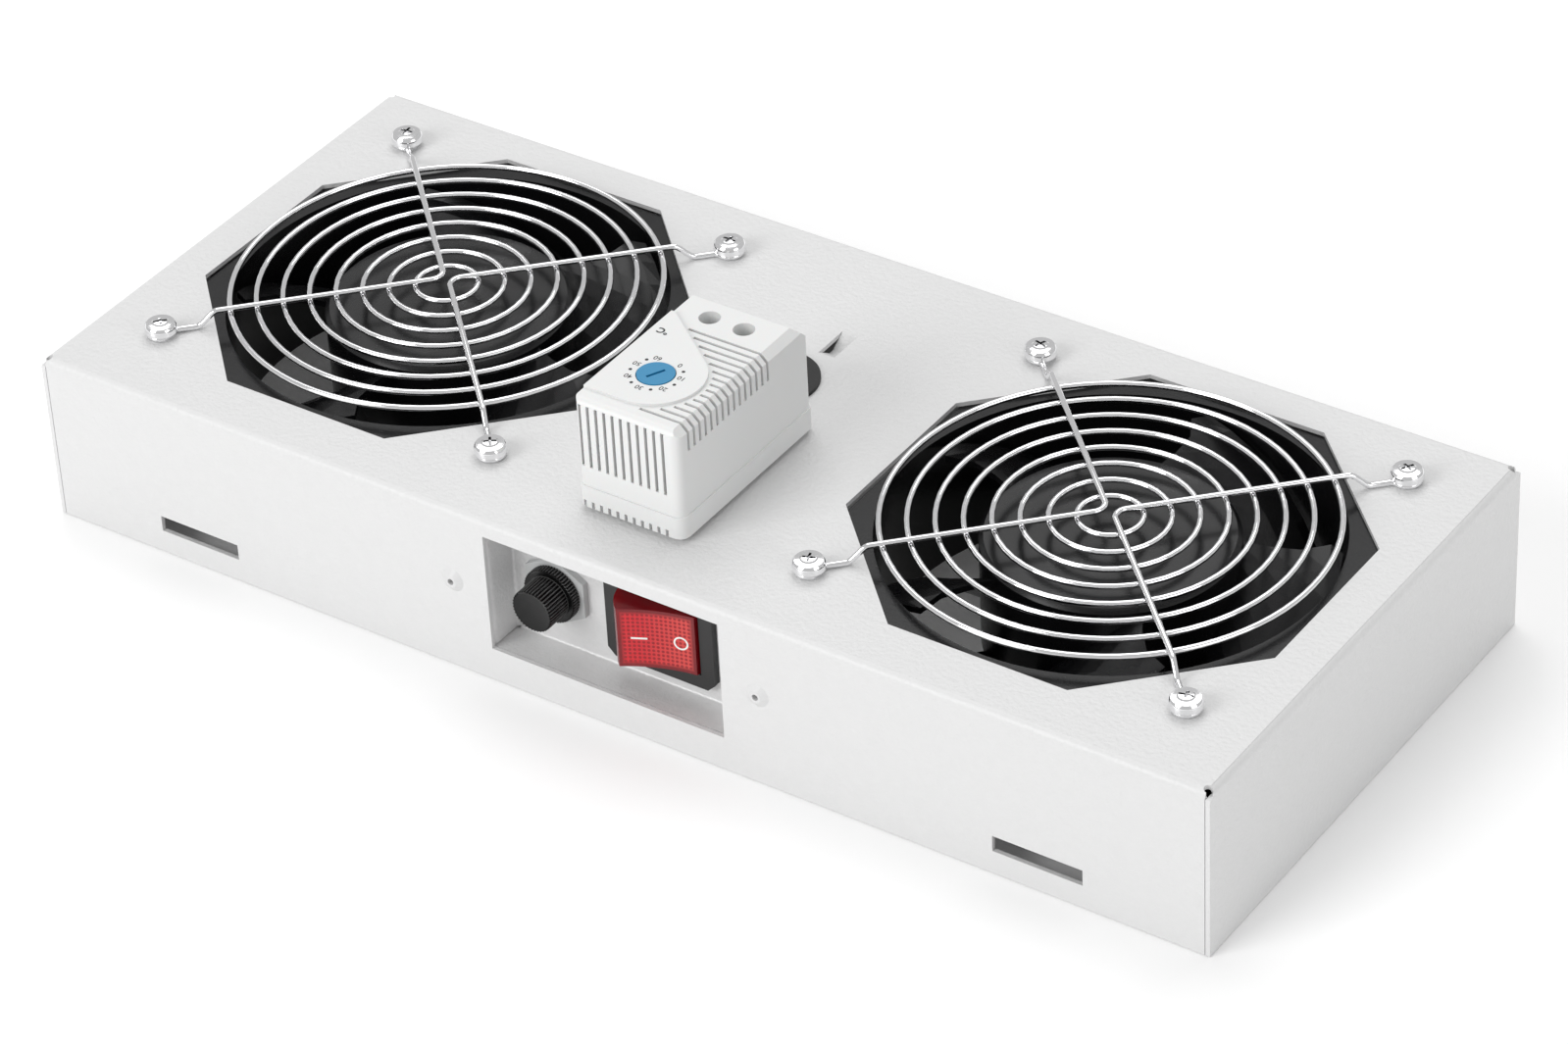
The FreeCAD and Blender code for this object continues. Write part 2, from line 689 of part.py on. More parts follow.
def blade(centre, phase):
    """Twisted, cambered blade over arcs of points at growing radii, its corners drawn in at the tip."""
    root = HUB_R - HUB_WALL / 2
    rings = []
    for (share, high), low in zip(BLADE_HIGH_EDGE, BLADE_LOW_EDGE):
        radius = root + (TIP_R - root) * share
        upper = []
        for k in range(BLADE_STRIPS + 1):
            t = k / BLADE_STRIPS
            sag = BLADE_DROP * (1 - t) - 4 * BLADE_CAMBER * t * (1 - t)
            level = HUB_TOP - BLADE_TOP_GAP - sag
            upper.append(polar(centre, radius, phase + low + (high - low) * t, level))
        lower = [p - UP * BLADE_THICKNESS for p in upper]
        rings.append(upper + lower[::-1])
    return skinned(rings)


def impeller(centre_x, phase):
    centre = (centre_x, FAN_Y)
    bottom = HUB_TOP - HUB_HEIGHT
    ceiling = HUB_HEIGHT - HUB_WALL
    profile = [(HUB_INNER_R, 0), (HUB_R, 0), (HUB_R, HUB_HEIGHT - HUB_CHAMFER),
               (HUB_R - HUB_CHAMFER, HUB_HEIGHT), (0, HUB_HEIGHT), (0, ceiling - SHAFT_BOSS),
               (SHAFT_BOSS_R, ceiling - SHAFT_BOSS), (SHAFT_BOSS_R, ceiling), (HUB_INNER_R, ceiling)]
    parts = [turned(profile, V(centre_x, FAN_Y, bottom), UP)]
    for k in range(BLADES):
        parts.append(blade(centre, phase + 360.0 * k / BLADES))
    body = joined(parts)
    bore = cylinder(SHAFT_R, V(centre_x, FAN_Y, bottom), UP, HUB_HEIGHT - HUB_WALL)
    return body.cut(bore)


def rotor_shaft(centre_x):
    bottom = MOTOR_FLOOR + SHAFT_END_GAP
    return cylinder(SHAFT_R, V(centre_x, FAN_Y, bottom), UP, HUB_TOP - HUB_WALL - bottom)


def fan_bearings():
    """Long sleeve bearings, one in each bearing tube."""
    return [tube(BEARING_R, SHAFT_R + RUNNING, V(x, FAN_Y, MOTOR_FLOOR), UP, TUBE_TOP - MOTOR_FLOOR)
            for x, _ in FANS.values()]


def stator_core(centre_x):
    """Lamination stack: four arms with pole shoes, pressed on the bearing tube."""
    base = V(centre_x, FAN_Y, CORE_BOTTOM)
    inner = CORE_R - CORE_SHOE
    shoe = CORE_ARM / 2 + CORE_SHOE
    wide = math.sqrt(CORE_R ** 2 - shoe ** 2)
    parts = []
    for k in range(CORE_POLES):
        arm = [(0, -CORE_ARM / 2), (inner, -CORE_ARM / 2), (inner, -shoe), (wide, -shoe),
               (CORE_R - RUNNING, 0), (wide, shoe), (inner, shoe), (inner, CORE_ARM / 2), (0, CORE_ARM / 2)]
        arm = prism(arm, 0, CORE_HEIGHT)
        arm.rotate(V(0, 0, 0), UP, 360.0 * k / CORE_POLES)
        arm.translate(base)
        parts.append(arm)
    parts.append(polygon_bar(2 * TUBE_R + CORE_SHOE, 8, base, UP, CORE_HEIGHT, 22.5))
    return joined(parts).cut(polygon_bar(2 * TUBE_R, 12, base, UP, CORE_HEIGHT, 15.0))


def stator_cores():
    return [stator_core(x) for x, _ in FANS.values()]


def stator_coils():
    """Windings, one round each arm of both stacks."""
    coils = []
    inner = TUBE_R + CORE_SHOE
    outer = CORE_R - CORE_SHOE - COIL_GAP
    for x, _ in FANS.values():
        for k in range(CORE_POLES):
            wide, low, high = CORE_ARM / 2 + COIL_WALL, -COIL_WALL, CORE_HEIGHT + COIL_WALL
            coil = box(inner, outer, -wide, wide, low, high)
            coil = coil.cut(box(inner, outer, -CORE_ARM / 2, CORE_ARM / 2, 0, CORE_HEIGHT))
            coil.rotate(V(0, 0, 0), UP, 360.0 * k / CORE_POLES)
            coil.translate(V(x, FAN_Y, CORE_BOTTOM))
            coils.append(coil)
    return coils


# --- finger guards ---
def mitred_bar(points, width):
    """Square bar along a path of short chords, mitred at every corner."""
    steps = [(b - a).normalize() for a, b in zip(points, points[1:])]
    sections = []
    for i, point in enumerate(points):
        before, after = steps[max(i - 1, 0)], steps[min(i, len(steps) - 1)]
        along = (before + after).normalize()
        side, rise = cross_axes(along)
        own_side, own_rise = cross_axes(after)
        side = side * (width / 2 / side.dot(own_side))
        rise = rise * (width / 2 / rise.dot(own_rise))
        sections.append([point + side + rise, point - side + rise, point - side - rise, point + side - rise])
    return skinned(sections)


def cross_axes(along):
    side = UP.cross(along).normalize()
    return side, along.cross(side)


def half_spoke():
    """Points of half a V wire: spoke from the apex, dog-leg down to the plate, neck, and eye round the screw.

    It belongs to a guard centred on the origin and runs out to the corner at -X, +Y.
    """
    reach = FAN_PITCH / math.sqrt(2)
    eye_r = SCREW_R + EYE_GAP + WIRE / 2
    high = PLATE_TOP + RING_LIFT + WIRE * 1.5
    low = PLATE_TOP + WIRE / 2
    along = V(-1, 1, 0).normalize()
    aside = V(1, 1, 0).normalize()
    apex_centre = V(-APEX_OFFSET - SPOKE_BEND, 0, high)
    shift = (apex_centre + aside * SPOKE_BEND).dot(aside)
    points = [apex_centre + polar((0, 0), SPOKE_BEND, 45.0 * k / APEX_STEPS) for k in range(APEX_STEPS + 1)]
    dogleg = RING_OUTER + DOGLEG_OUTSET
    neck = reach - math.sqrt((eye_r + NECK_BEND) ** 2 - (NECK_BEND - shift) ** 2)
    for r, z in ((dogleg, high), (dogleg + DOGLEG_RUN, low), (neck, low)):
        points.append(along * r + aside * shift + UP * z)
    bend_centre = points[-1] - aside * NECK_BEND
    eye_centre = along * reach + UP * low
    touch = bend_centre + (eye_centre - bend_centre).normalize() * NECK_BEND
    points += arc_steps(bend_centre, points[-1], touch, NECK_STEPS)
    spoke_end = touch - eye_centre
    for k in range(1, EYE_STEPS + 1):
        points.append(eye_centre + FreeCAD.Rotation(UP, -EYE_SWEEP * k / EYE_STEPS).multVec(spoke_end))
    return points


def arc_steps(centre, start, end, steps):
    """Points after start on the shorter arc about centre, ending on end."""
    first = start - centre
    angle = math.degrees(first.getAngle(end - centre))
    way = 1 if first.cross(end - centre).z > 0 else -1
    turns = [FreeCAD.Rotation(UP, way * angle * k / steps) for k in range(1, steps + 1)]
    return [centre + turn.multVec(first) for turn in turns]


def spoke_wire():
    """The V wire on the -X side of a guard centred on the origin."""
    half = half_spoke()
    other = [V(p.x, -p.y, p.z) for p in half[1:]]
    return mitred_bar(list(reversed(other)) + half, WIRE)


def finger_guards():
    """Eight rings and two V wires on each fan; the rings are bent in short chords."""
    wires = []
    left = spoke_wire()
    right = left.mirror(V(0, 0, 0), V(1, 0, 0))
    for x, _ in FANS.values():
        base = V(x, FAN_Y, PLATE_TOP + RING_LIFT)
        for k in range(RINGS):
            sides = RING_SIDES - RING_SIDES_STEP * k
            flats = 2 * (RING_OUTER - k * RING_PITCH) * math.cos(math.pi / sides)
            outer = polygon_bar(flats + WIRE, sides, base, UP, WIRE)
            wires.append(outer.cut(polygon_bar(flats - WIRE, sides, base, UP, WIRE)))
        for spoke in (left, right):
            placed = spoke.copy()
            placed.translate(V(x, FAN_Y, 0))
            wires.append(placed)
    return wires


def guard_screws():
    screws = []
    for x, y in fan_screw_places():
        base = V(x, y, PLATE_TOP + WIRE)
        rim = [base + p for p in circle_points(SCREW_HEAD_R)]
        face = [base + UP * SCREW_HEAD + p for p in circle_points(SCREW_FACE_R)]
        screws.append(joined([skinned([rim, face]), screw_shank(base)]))
    return screws


def screw_shank(base):
    """Shank of a guard screw below base."""
    return small_bar(SCREW_R, base, -UP, SCREW_LENGTH)


def guard_nuts():
    nuts = []
    for x, y in fan_screw_places():
        base = V(x, y, FAN_TOP - FAN_FLANGE - NUT_HEIGHT)
        nuts.append(polygon_bar(NUT_FLATS, 6, base, UP, NUT_HEIGHT).cut(screw_shank(V(x, y, PLATE_TOP))))
    return nuts


# --- thermostat ---
def thermo_box(z0, z1, grow, radius):
    half = THERMO_WIDTH / 2 + grow
    return rounded_block(THERMO_X - half, THERMO_X + half, THERMO_FRONT - grow, THERMO_BACK + grow,
                         z0, z1, radius)


def dial_place(z):
    return V(THERMO_X + DIAL_X, THERMO_Y + DIAL_Y, z)


def plateau():
    """Raised area round the dial: a disc run out to the left edge, and back to the rear corner on a slant."""
    centre = dial_place(THERMO_DECK)
    left = THERMO_X - THERMO_WIDTH / 2
    rear = V(left + PLATEAU_CORNER, THERMO_Y + PLATEAU_REAR, THERMO_DECK)
    chord = rear - centre
    lean = math.degrees(math.atan2(chord.y, chord.x)) - math.degrees(math.acos(PLATEAU_R / chord.Length))
    meet = polar((centre.x, centre.y), PLATEAU_R, lean, THERMO_DECK)
    foot = V(centre.x, centre.y - PLATEAU_R, THERMO_DECK)
    side = polar((centre.x, centre.y), PLATEAU_R, (lean - 90.0) / 2, THERMO_DECK)
    outline = Part.Wire([Part.LineSegment(V(left, rear.y, THERMO_DECK), rear).toShape(),
                         Part.LineSegment(rear, meet).toShape(),
                         Part.Arc(meet, side, foot).toShape(),
                         Part.LineSegment(foot, V(left, foot.y, THERMO_DECK)).toShape(),
                         Part.LineSegment(V(left, foot.y, THERMO_DECK),
                                          V(left, rear.y, THERMO_DECK)).toShape()])
    return Part.Face(outline).extrude(UP * PLATEAU_RAISE)


def cover_cuts():
    """Louvres over the chamfer, front grille, screw wells and the seat of the dial."""
    right = THERMO_X + THERMO_WIDTH / 2
    front = THERMO_FRONT
    tools = []
    for k in range(LOUVRES):
        y = THERMO_Y + LOUVRE_FIRST_Y + k * LOUVRE_PITCH
        tools.append(box(louvre_start(y), right + OVERCUT, y - LOUVRE_WIDTH / 2, y + LOUVRE_WIDTH / 2,
                         THERMO_DECK - LOUVRE_SIDE_DROP, THERMO_TOP + OVERCUT))
    for k in range(GRILLE_SLOTS):
        x = THERMO_X + GRILLE_FIRST_X + k * GRILLE_PITCH
        tools.append(box(x - GRILLE_WIDTH / 2, x + GRILLE_WIDTH / 2,
                         front - OVERCUT, front + THERMO_WALL + FRONT_EDGE_R / 2,
                         THERMO_DECK - GRILLE_TOP - GRILLE_LENGTH, THERMO_DECK - GRILLE_TOP))
    for x, y in terminal_places():
        tools.append(cylinder(WELL_R, V(x, y, WELL_BOTTOM), UP, THERMO_TOP - WELL_BOTTOM))
    seat = THERMO_TOP + DIAL_PROUD - DIAL_HEAD
    tools.append(cylinder(DIAL_R + DIAL_GAP, dial_place(seat), UP, THERMO_WALL + DIAL_HEAD))
    tools.append(cylinder(DIAL_STEM_R + RUNNING, dial_place(seat - 3 * THERMO_WALL), UP, 4 * THERMO_WALL))
    return tools


def louvre_start(y):
    """Where a louvre at depth y starts: just clear of the plateau, or at a common line behind it."""
    centre = dial_place(0)
    rear_y = THERMO_Y + PLATEAU_REAR
    rear_x = THERMO_X - THERMO_WIDTH / 2 + PLATEAU_CORNER
    chord = V(rear_x - centre.x, rear_y - centre.y, 0)
    lean = math.atan2(chord.y, chord.x) - math.acos(PLATEAU_R / chord.Length)
    reach = PLATEAU_R + LOUVRE_MARGIN
    meet_y = centre.y + reach * math.sin(lean)
    if y > meet_y:
        return centre.x + (reach - (y - centre.y) * math.sin(lean)) / math.cos(lean)
    if y > centre.y - reach:
        return centre.x + math.sqrt(reach ** 2 - (y - centre.y) ** 2)
    return centre.x


def thermostat_cover():
    block = thermo_box(THERMO_PARTING, THERMO_DECK, 0, THERMO_CORNER)
    right = THERMO_X + THERMO_WIDTH / 2
    back = THERMO_BACK
    outside, above = right + OVERCUT, THERMO_DECK + OVERCUT
    lost = [front_prism([(right - SIDE_CHAMFER, THERMO_DECK), (right, THERMO_DECK - SIDE_CHAMFER),
                         (outside, THERMO_DECK - SIDE_CHAMFER), (outside, above),
                         (right - SIDE_CHAMFER, above)], THERMO_FRONT - OVERCUT, back + OVERCUT),
            side_prism([(back - REAR_CHAMFER, THERMO_DECK), (back, THERMO_DECK - REAR_CHAMFER),
                        (back + OVERCUT, THERMO_DECK - REAR_CHAMFER), (back + OVERCUT, above),
                        (back - REAR_CHAMFER, above)], THERMO_X - THERMO_WIDTH, outside)]
    front = THERMO_FRONT
    roll_axis = V(THERMO_X - THERMO_WIDTH, front + FRONT_EDGE_R, THERMO_DECK - FRONT_EDGE_R)
    roll = cylinder(FRONT_EDGE_R, roll_axis, V(1, 0, 0), 2 * THERMO_WIDTH)
    corner = box(THERMO_X - THERMO_WIDTH, THERMO_X + THERMO_WIDTH, front - OVERCUT, front + FRONT_EDGE_R,
                 THERMO_DECK - FRONT_EDGE_R, above)
    block = cut(block, lost + [corner.cut(roll)])
    w = THERMO_WALL
    dial_boss = cylinder(DIAL_STEM_R + w, dial_place(THERMO_DECK - 2 * w), UP, 2 * w)
    half = THERMO_WIDTH / 2 - w
    ceiling = THERMO_DECK - w
    room = box(THERMO_X - half, THERMO_X + half, THERMO_FRONT + w, back - w,
               THERMO_PARTING - OVERCUT, ceiling)
    inner = [front_prism([(right - w - SIDE_CHAMFER, ceiling), (right - w, ceiling - SIDE_CHAMFER),
                          (right, ceiling - SIDE_CHAMFER), (right, THERMO_DECK)], THERMO_FRONT, back),
             side_prism([(back - w - REAR_CHAMFER, ceiling), (back - w, ceiling - REAR_CHAMFER),
                         (back, ceiling - REAR_CHAMFER), (back, THERMO_DECK)],
                        THERMO_X - THERMO_WIDTH, right)]
    shell = block.cut(cut(room, inner))
    wells = [cylinder(WELL_R + WELL_WALL, V(x, y, WELL_BOTTOM), UP, THERMO_DECK - w - WELL_BOTTOM)
             for x, y in terminal_places()]
    return cut(joined([shell, plateau(), dial_boss] + wells), cover_cuts())


def thermostat_base():
    """Base moulding: floor and walls, a pedestal for the terminals, feet and two hooks under the plate."""
    w = THERMO_WALL
    half = THERMO_WIDTH / 2 + THERMO_LIP - w
    body = thermo_box(THERMO_BOTTOM, THERMO_PARTING, THERMO_LIP, THERMO_CORNER + THERMO_LIP)
    front = THERMO_FRONT - THERMO_LIP
    body = body.cut(box(THERMO_X - half, THERMO_X + half, front + w, THERMO_BACK + THERMO_LIP - w,
                        THERMO_BOTTOM + THERMO_FLOOR, THERMO_PARTING + OVERCUT))
    added = [box(THERMO_X + WELL_X - PEDESTAL_WIDTH / 2, THERMO_X + WELL_X + PEDESTAL_WIDTH / 2,
                 THERMO_Y + WELL_Y - TERMINAL_LENGTH / 2, THERMO_Y + WELL_Y + TERMINAL_LENGTH / 2,
                 THERMO_BOTTOM + THERMO_FLOOR, PEDESTAL_TOP)]
    for way in (-1, 1):
        near = THERMO_Y + way * RAIL_WIDTH / 2
        inner, outer = near + way * HOOK_CLEARANCE, near + way * (HOOK_CLEARANCE + HOOK_THICKNESS)
        lip = near - way * HOOK_GRIP
        foot = near - way * FOOT_WIDTH
        x0, x1 = THERMO_X - HOOK_WIDTH / 2, THERMO_X + HOOK_WIDTH / 2
        below = PLATE_UNDER - HOOK_THICKNESS
        added.append(box(x0, x1, min(inner, outer), max(inner, outer), below, THERMO_BOTTOM))
        added.append(box(x0, x1, min(lip, outer), max(lip, outer), below, PLATE_UNDER))
        added.append(box(x0 - HOOK_WIDTH / 2, x1 + HOOK_WIDTH / 2, min(near, foot), max(near, foot),
                         PLATE_TOP, THERMO_BOTTOM))
    notches = []
    for k in range(GRILLE_SLOTS):
        x = THERMO_X + GRILLE_FIRST_X + k * GRILLE_PITCH
        notches.append(box(x - GRILLE_WIDTH / 2, x + GRILLE_WIDTH / 2, front - OVERCUT, front + w,
                           THERMO_BOTTOM - OVERCUT, THERMO_BOTTOM + FOOT_SLOT_HEIGHT))
    return cut(joined([body] + added), notches)


def thermostat_dial():
    top = THERMO_TOP + DIAL_PROUD
    under = THERMO_DECK - 2 * THERMO_WALL - RUNNING
    profile = [(0, top), (DIAL_R, top), (DIAL_R, top - DIAL_HEAD), (DIAL_STEM_R, top - DIAL_HEAD),
               (DIAL_STEM_R, under), (DIAL_COLLAR_R, under), (DIAL_COLLAR_R, under - DIAL_COLLAR),
               (DIAL_STEM_R, under - DIAL_COLLAR), (DIAL_STEM_R, under - DIAL_COLLAR - DIAL_STEM_END),
               (0, under - DIAL_COLLAR - DIAL_STEM_END)]
    dial = turned(profile, dial_place(0), UP)
    slot = box(-DIAL_SLOT_LENGTH / 2, DIAL_SLOT_LENGTH / 2, -DIAL_SLOT / 2, DIAL_SLOT / 2, -DIAL_SLOT, 1)
    slot.rotate(V(0, 0, 0), UP, DIAL_ZERO)
    slot.translate(dial_place(top))
    return dial.cut(slot)


def bimetal_strip():
    """Bent strip: foot on the base floor, riser, and the blade under the end of the dial stem."""
    centre = dial_place(0)
    half = BIMETAL_THICKNESS / 2
    floor = THERMO_BOTTOM + THERMO_FLOOR + half
    level = THERMO_DECK - 2 * THERMO_WALL - RUNNING - DIAL_COLLAR - DIAL_STEM_END - DIAL_GAP - half
    back = centre.y + BIMETAL_LENGTH
    section = folded([(back + BIMETAL_FOOT, floor), (back, floor), (back, level), (centre.y - DIAL_R, level)],
                     BIMETAL_THICKNESS, 2 * BIMETAL_THICKNESS, in_side)
    section.translate(V(centre.x - BIMETAL_WIDTH / 2, 0, 0))
    return section.extrude(V(BIMETAL_WIDTH, 0, 0))


def terminal_places():
    return [(THERMO_X + WELL_X + side * WELL_SPACING / 2, THERMO_Y + WELL_Y) for side in (-1, 1)]


def thermostat_terminals():
    return [box(x - TERMINAL_WIDTH / 2, x + TERMINAL_WIDTH / 2,
                y - TERMINAL_LENGTH / 2, y + TERMINAL_LENGTH / 2,
                PEDESTAL_TOP, PEDESTAL_TOP + TERMINAL_HEIGHT) for x, y in terminal_places()]


def thermostat_screws():
    return [small_bar(TERMINAL_SCREW_R, V(x, y, PEDESTAL_TOP + TERMINAL_HEIGHT), UP, TERMINAL_SCREW)
            for x, y in terminal_places()]


# --- fuse holder ---
def fuse_at(depth):
    """Point on the axis of the fuse holder, a given depth behind the front face of the bracket wall."""
    x, z = FUSE_CENTRE
    return V(x, WALL_FRONT + depth, z)


def fuse_lug(depth, length):
    x, z = FUSE_CENTRE
    return box(x - LUG_WIDTH / 2, x + LUG_WIDTH / 2, WALL_FRONT + depth, WALL_FRONT + depth + length,
               z - LUG_THICKNESS / 2, z + LUG_THICKNESS / 2)


def fuse_holder_body():
    wall = BRACKET_SHEET
    end = wall + FUSE_BARREL_LENGTH
    shoulder = wall + FUSE_SHOULDER
    chamber = CARTRIDGE_R + CHAMBER_CLEARANCE
    mouth = FUSE_PLUG_R + PLUG_CLEARANCE
    step = plug_end() + FUSE_GAP
    profile = [(mouth, -FUSE_NUT), (FUSE_THREAD_R, -FUSE_NUT), (FUSE_THREAD_R, wall), (FUSE_SHOULDER_R, wall),
               (FUSE_SHOULDER_R, shoulder), (FUSE_BARREL_R, shoulder), (FUSE_BARREL_R, end), (0, end),
               (0, fuse_back()), (chamber, fuse_back()), (chamber, step), (mouth, step)]
    body = turned(profile, fuse_at(0), INTO)
    return cut(body, [fuse_lug(fuse_back() - 1, FUSE_BARREL_LENGTH), side_lug()])


def plug_end():
    return FUSE_PLUG_LENGTH - FUSE_NUT - FUSE_GAP


def cartridge_front():
    return plug_end() - CARTRIDGE_SOCKET + CARRIER_WALL


def fuse_back():
    """Depth of the chamber floor, where the rear contact sits behind the cartridge."""
    return cartridge_front() + CARTRIDGE_LENGTH + FUSE_GAP + CONTACT_THICKNESS


def side_lug():
    x, z = FUSE_CENTRE
    y = WALL_FRONT + BRACKET_SHEET + FUSE_SHOULDER + LUG_WIDTH
    inner = FUSE_PLUG_R + PLUG_CLEARANCE
    return box(x - LUG_WIDTH / 2, x + LUG_WIDTH / 2, y, y + LUG_THICKNESS, z - inner - LUG_LENGTH, z - inner)


def fuse_terminals():
    """Rear contact with its solder lug, and the side lug through the barrel."""
    disc = cylinder(CARTRIDGE_R, fuse_at(fuse_back() - CONTACT_THICKNESS), INTO, CONTACT_THICKNESS)
    lug = fuse_lug(fuse_back(), BRACKET_SHEET + FUSE_BARREL_LENGTH - fuse_back() + LUG_LENGTH)
    return [joined([disc, lug]), side_lug()]


def fuse_holder_nut():
    nut = polygon_bar(FUSE_NUT_FLATS, 6, fuse_at(-FUSE_NUT), INTO, FUSE_NUT, 30)
    return nut.cut(cylinder(FUSE_THREAD_R, fuse_at(-FUSE_NUT), INTO, FUSE_NUT))


def fuse_cap():
    """Bayonet cap: ridged grip, skirt over the nut and the plug that takes the carrier."""
    seat = -FUSE_NUT - FUSE_GAP
    shoulder = seat - FUSE_SKIRT
    profile = [(0, shoulder), (FUSE_SKIRT_R, shoulder), (FUSE_SKIRT_R, seat), (FUSE_PLUG_R, seat),
               (FUSE_PLUG_R, plug_end()), (0, plug_end())]
    grips = []
    for k in range(2):
        turn = 180.0 * k / GRIP_SIDES
        grips.append(polygon_bar(2 * FUSE_GRIP_R, GRIP_SIDES, fuse_at(shoulder), -INTO, FUSE_GRIP, turn))
    body = joined([turned(profile, fuse_at(0), INTO)] + grips)
    socket = fuse_at(plug_end() - CARTRIDGE_SOCKET)
    return body.cut(small_hole(CARRIER_R + PLUG_CLEARANCE, socket, INTO, CARTRIDGE_SOCKET))


def fuse_carrier():
    """Brass cup in the plug, gripping the front end of the cartridge."""
    bottom = plug_end() - CARTRIDGE_SOCKET
    cup = small_bar(CARRIER_R, fuse_at(bottom), INTO, CARTRIDGE_SOCKET)
    return cup.cut(small_bar(CARTRIDGE_R, fuse_at(bottom + CARRIER_WALL), INTO, CARTRIDGE_SOCKET))


def fuse_end_caps():
    caps = []
    hidden = CARTRIDGE_CAP - CARTRIDGE_WALL
    rear = cartridge_front() + CARTRIDGE_LENGTH - CARTRIDGE_CAP
    for depth, bore in ((cartridge_front(), CARTRIDGE_WALL), (rear, 0)):
        cap = small_bar(CARTRIDGE_R, fuse_at(depth), INTO, CARTRIDGE_CAP)
        caps.append(cap.cut(small_bar(GLASS_R, fuse_at(depth + bore), INTO, hidden)))
    return caps


def fuse_glass():
    length = CARTRIDGE_LENGTH - 2 * CARTRIDGE_WALL
    return small_bar(GLASS_R, fuse_at(cartridge_front() + CARTRIDGE_WALL), INTO, length)


# --- rocker switch ---
def switch_housing():
    """Bezel, body with the rocker's well, trunnion bores, tab slots and the two snap wedges."""
    x, z = SWITCH_CENTRE
    bezel = front_prism(rectangle(x - BEZEL_WIDTH / 2, x + BEZEL_WIDTH / 2, z - BEZEL_HEIGHT / 2,
                                  z + BEZEL_HEIGHT / 2, BEZEL_CHAMFER), WALL_FRONT - BEZEL_DEPTH, WALL_FRONT)
    half, high = SWITCH_BODY_WIDTH / 2, SWITCH_BODY_HEIGHT / 2
    end = WALL_FRONT + SWITCH_BODY_DEPTH
    parts = [bezel, box(x - half, x + half, WALL_FRONT, end, z - high, z + high)]
    lock = WALL_BACK + FUSE_GAP
    for side in (-1, 1):
        wedge = [V(x + side * half, lock, 0), V(x + side * (half + SNAP_PROUD), lock, 0),
                 V(x + side * half, lock + SNAP_LENGTH, 0)]
        wedge = face_of([p + UP * (z - SNAP_WIDTH / 2) for p in wedge])
        parts.append(wedge.extrude(UP * SNAP_WIDTH))
    well_half = math.hypot(ROCKER_HALF, ROCKER_RISE) + ROCKER_GAP
    well_high = ROCKER_HEIGHT / 2 + ROCKER_GAP
    floor = WALL_FRONT + WELL_DEPTH
    tools = [box(x - well_half, x + well_half, WALL_FRONT - BEZEL_DEPTH - OVERCUT, floor,
                 z - well_high, z + well_high)]
    reach = ROCKER_HEIGHT / 2 + PIVOT_LENGTH + RUNNING
    tools.append(cylinder(PIVOT_R + RUNNING, V(x, pivot_y(), z - reach), UP, 2 * reach))
    tools += [switch_tab(i, j) for i in (-1, 1) for j in (-1, 1)]
    return cut(joined(parts), tools)


def pivot_y():
    return WALL_FRONT - BEZEL_DEPTH + PIVOT_DEPTH


def switch_tab(i, j):
    x, z = SWITCH_CENTRE
    x += i * TAB_SPREAD_X
    z += j * TAB_SPREAD_Z
    start = WALL_FRONT + WELL_DEPTH
    end = WALL_FRONT + SWITCH_BODY_DEPTH + TAB_LENGTH
    return box(x - TAB_THICKNESS / 2, x + TAB_THICKNESS / 2, start, end, z - TAB_WIDTH / 2, z + TAB_WIDTH / 2)


def switch_terminals():
    return [switch_tab(i, j) for i in (-1, 1) for j in (-1, 1)]


def switch_rocker():
    """Dished rocker, round-ended about its pivot, hollow behind, on two trunnions; it rests tilted to off."""
    x, z = SWITCH_CENTRE
    radius = math.hypot(ROCKER_HALF, ROCKER_RISE)
    low = math.sqrt(radius ** 2 - ROCKER_SKIRT ** 2)
    base = z - ROCKER_HEIGHT / 2

    def at(u, v):
        return V(u, -v, 0)

    left, right = at(-ROCKER_HALF, ROCKER_RISE), at(ROCKER_HALF, ROCKER_RISE)
    edges = [Part.Arc(left, at(0, ROCKER_RISE - ROCKER_DISH), right),
             Part.Arc(right, at(radius, 0), at(low, -ROCKER_SKIRT)),
             Part.LineSegment(at(low, -ROCKER_SKIRT), at(-low, -ROCKER_SKIRT)),
             Part.Arc(at(-low, -ROCKER_SKIRT), at(-radius, 0), left)]
    body = Part.Face(Part.Wire([e.toShape() for e in edges])).extrude(UP * ROCKER_HEIGHT)
    inner = low - ROCKER_WALL
    body = body.cut(box(-inner, inner, -(ROCKER_RISE - ROCKER_DISH - ROCKER_WALL), ROCKER_SKIRT + OVERCUT,
                        ROCKER_WALL, ROCKER_HEIGHT - ROCKER_WALL))
    pins = [cylinder(PIVOT_R, V(0, 0, -PIVOT_LENGTH), UP, PIVOT_LENGTH),
            cylinder(PIVOT_R, V(0, 0, ROCKER_HEIGHT), UP, PIVOT_LENGTH)]
    rocker = joined([body] + pins)
    rocker.rotate(V(0, 0, 0), UP, ROCKER_TILT)
    rocker.translate(V(x, pivot_y(), base))
    return rocker


def neon_lamp():
    """Lamp along the pivot line inside the rocker, standing on two legs in the floor of the well."""
    x, z = SWITCH_CENTRE
    y = pivot_y()
    parts = [small_bar(LAMP_R, V(x, y, z - LAMP_LENGTH / 2), UP, LAMP_LENGTH)]
    for side in (-1, 1):
        foot = V(x, y, z + side * (LAMP_LENGTH / 2 - 2 * LAMP_LEG_R))
        parts.append(small_bar(LAMP_LEG_R, foot, INTO, WALL_FRONT + WELL_DEPTH - y))
    return joined(parts)


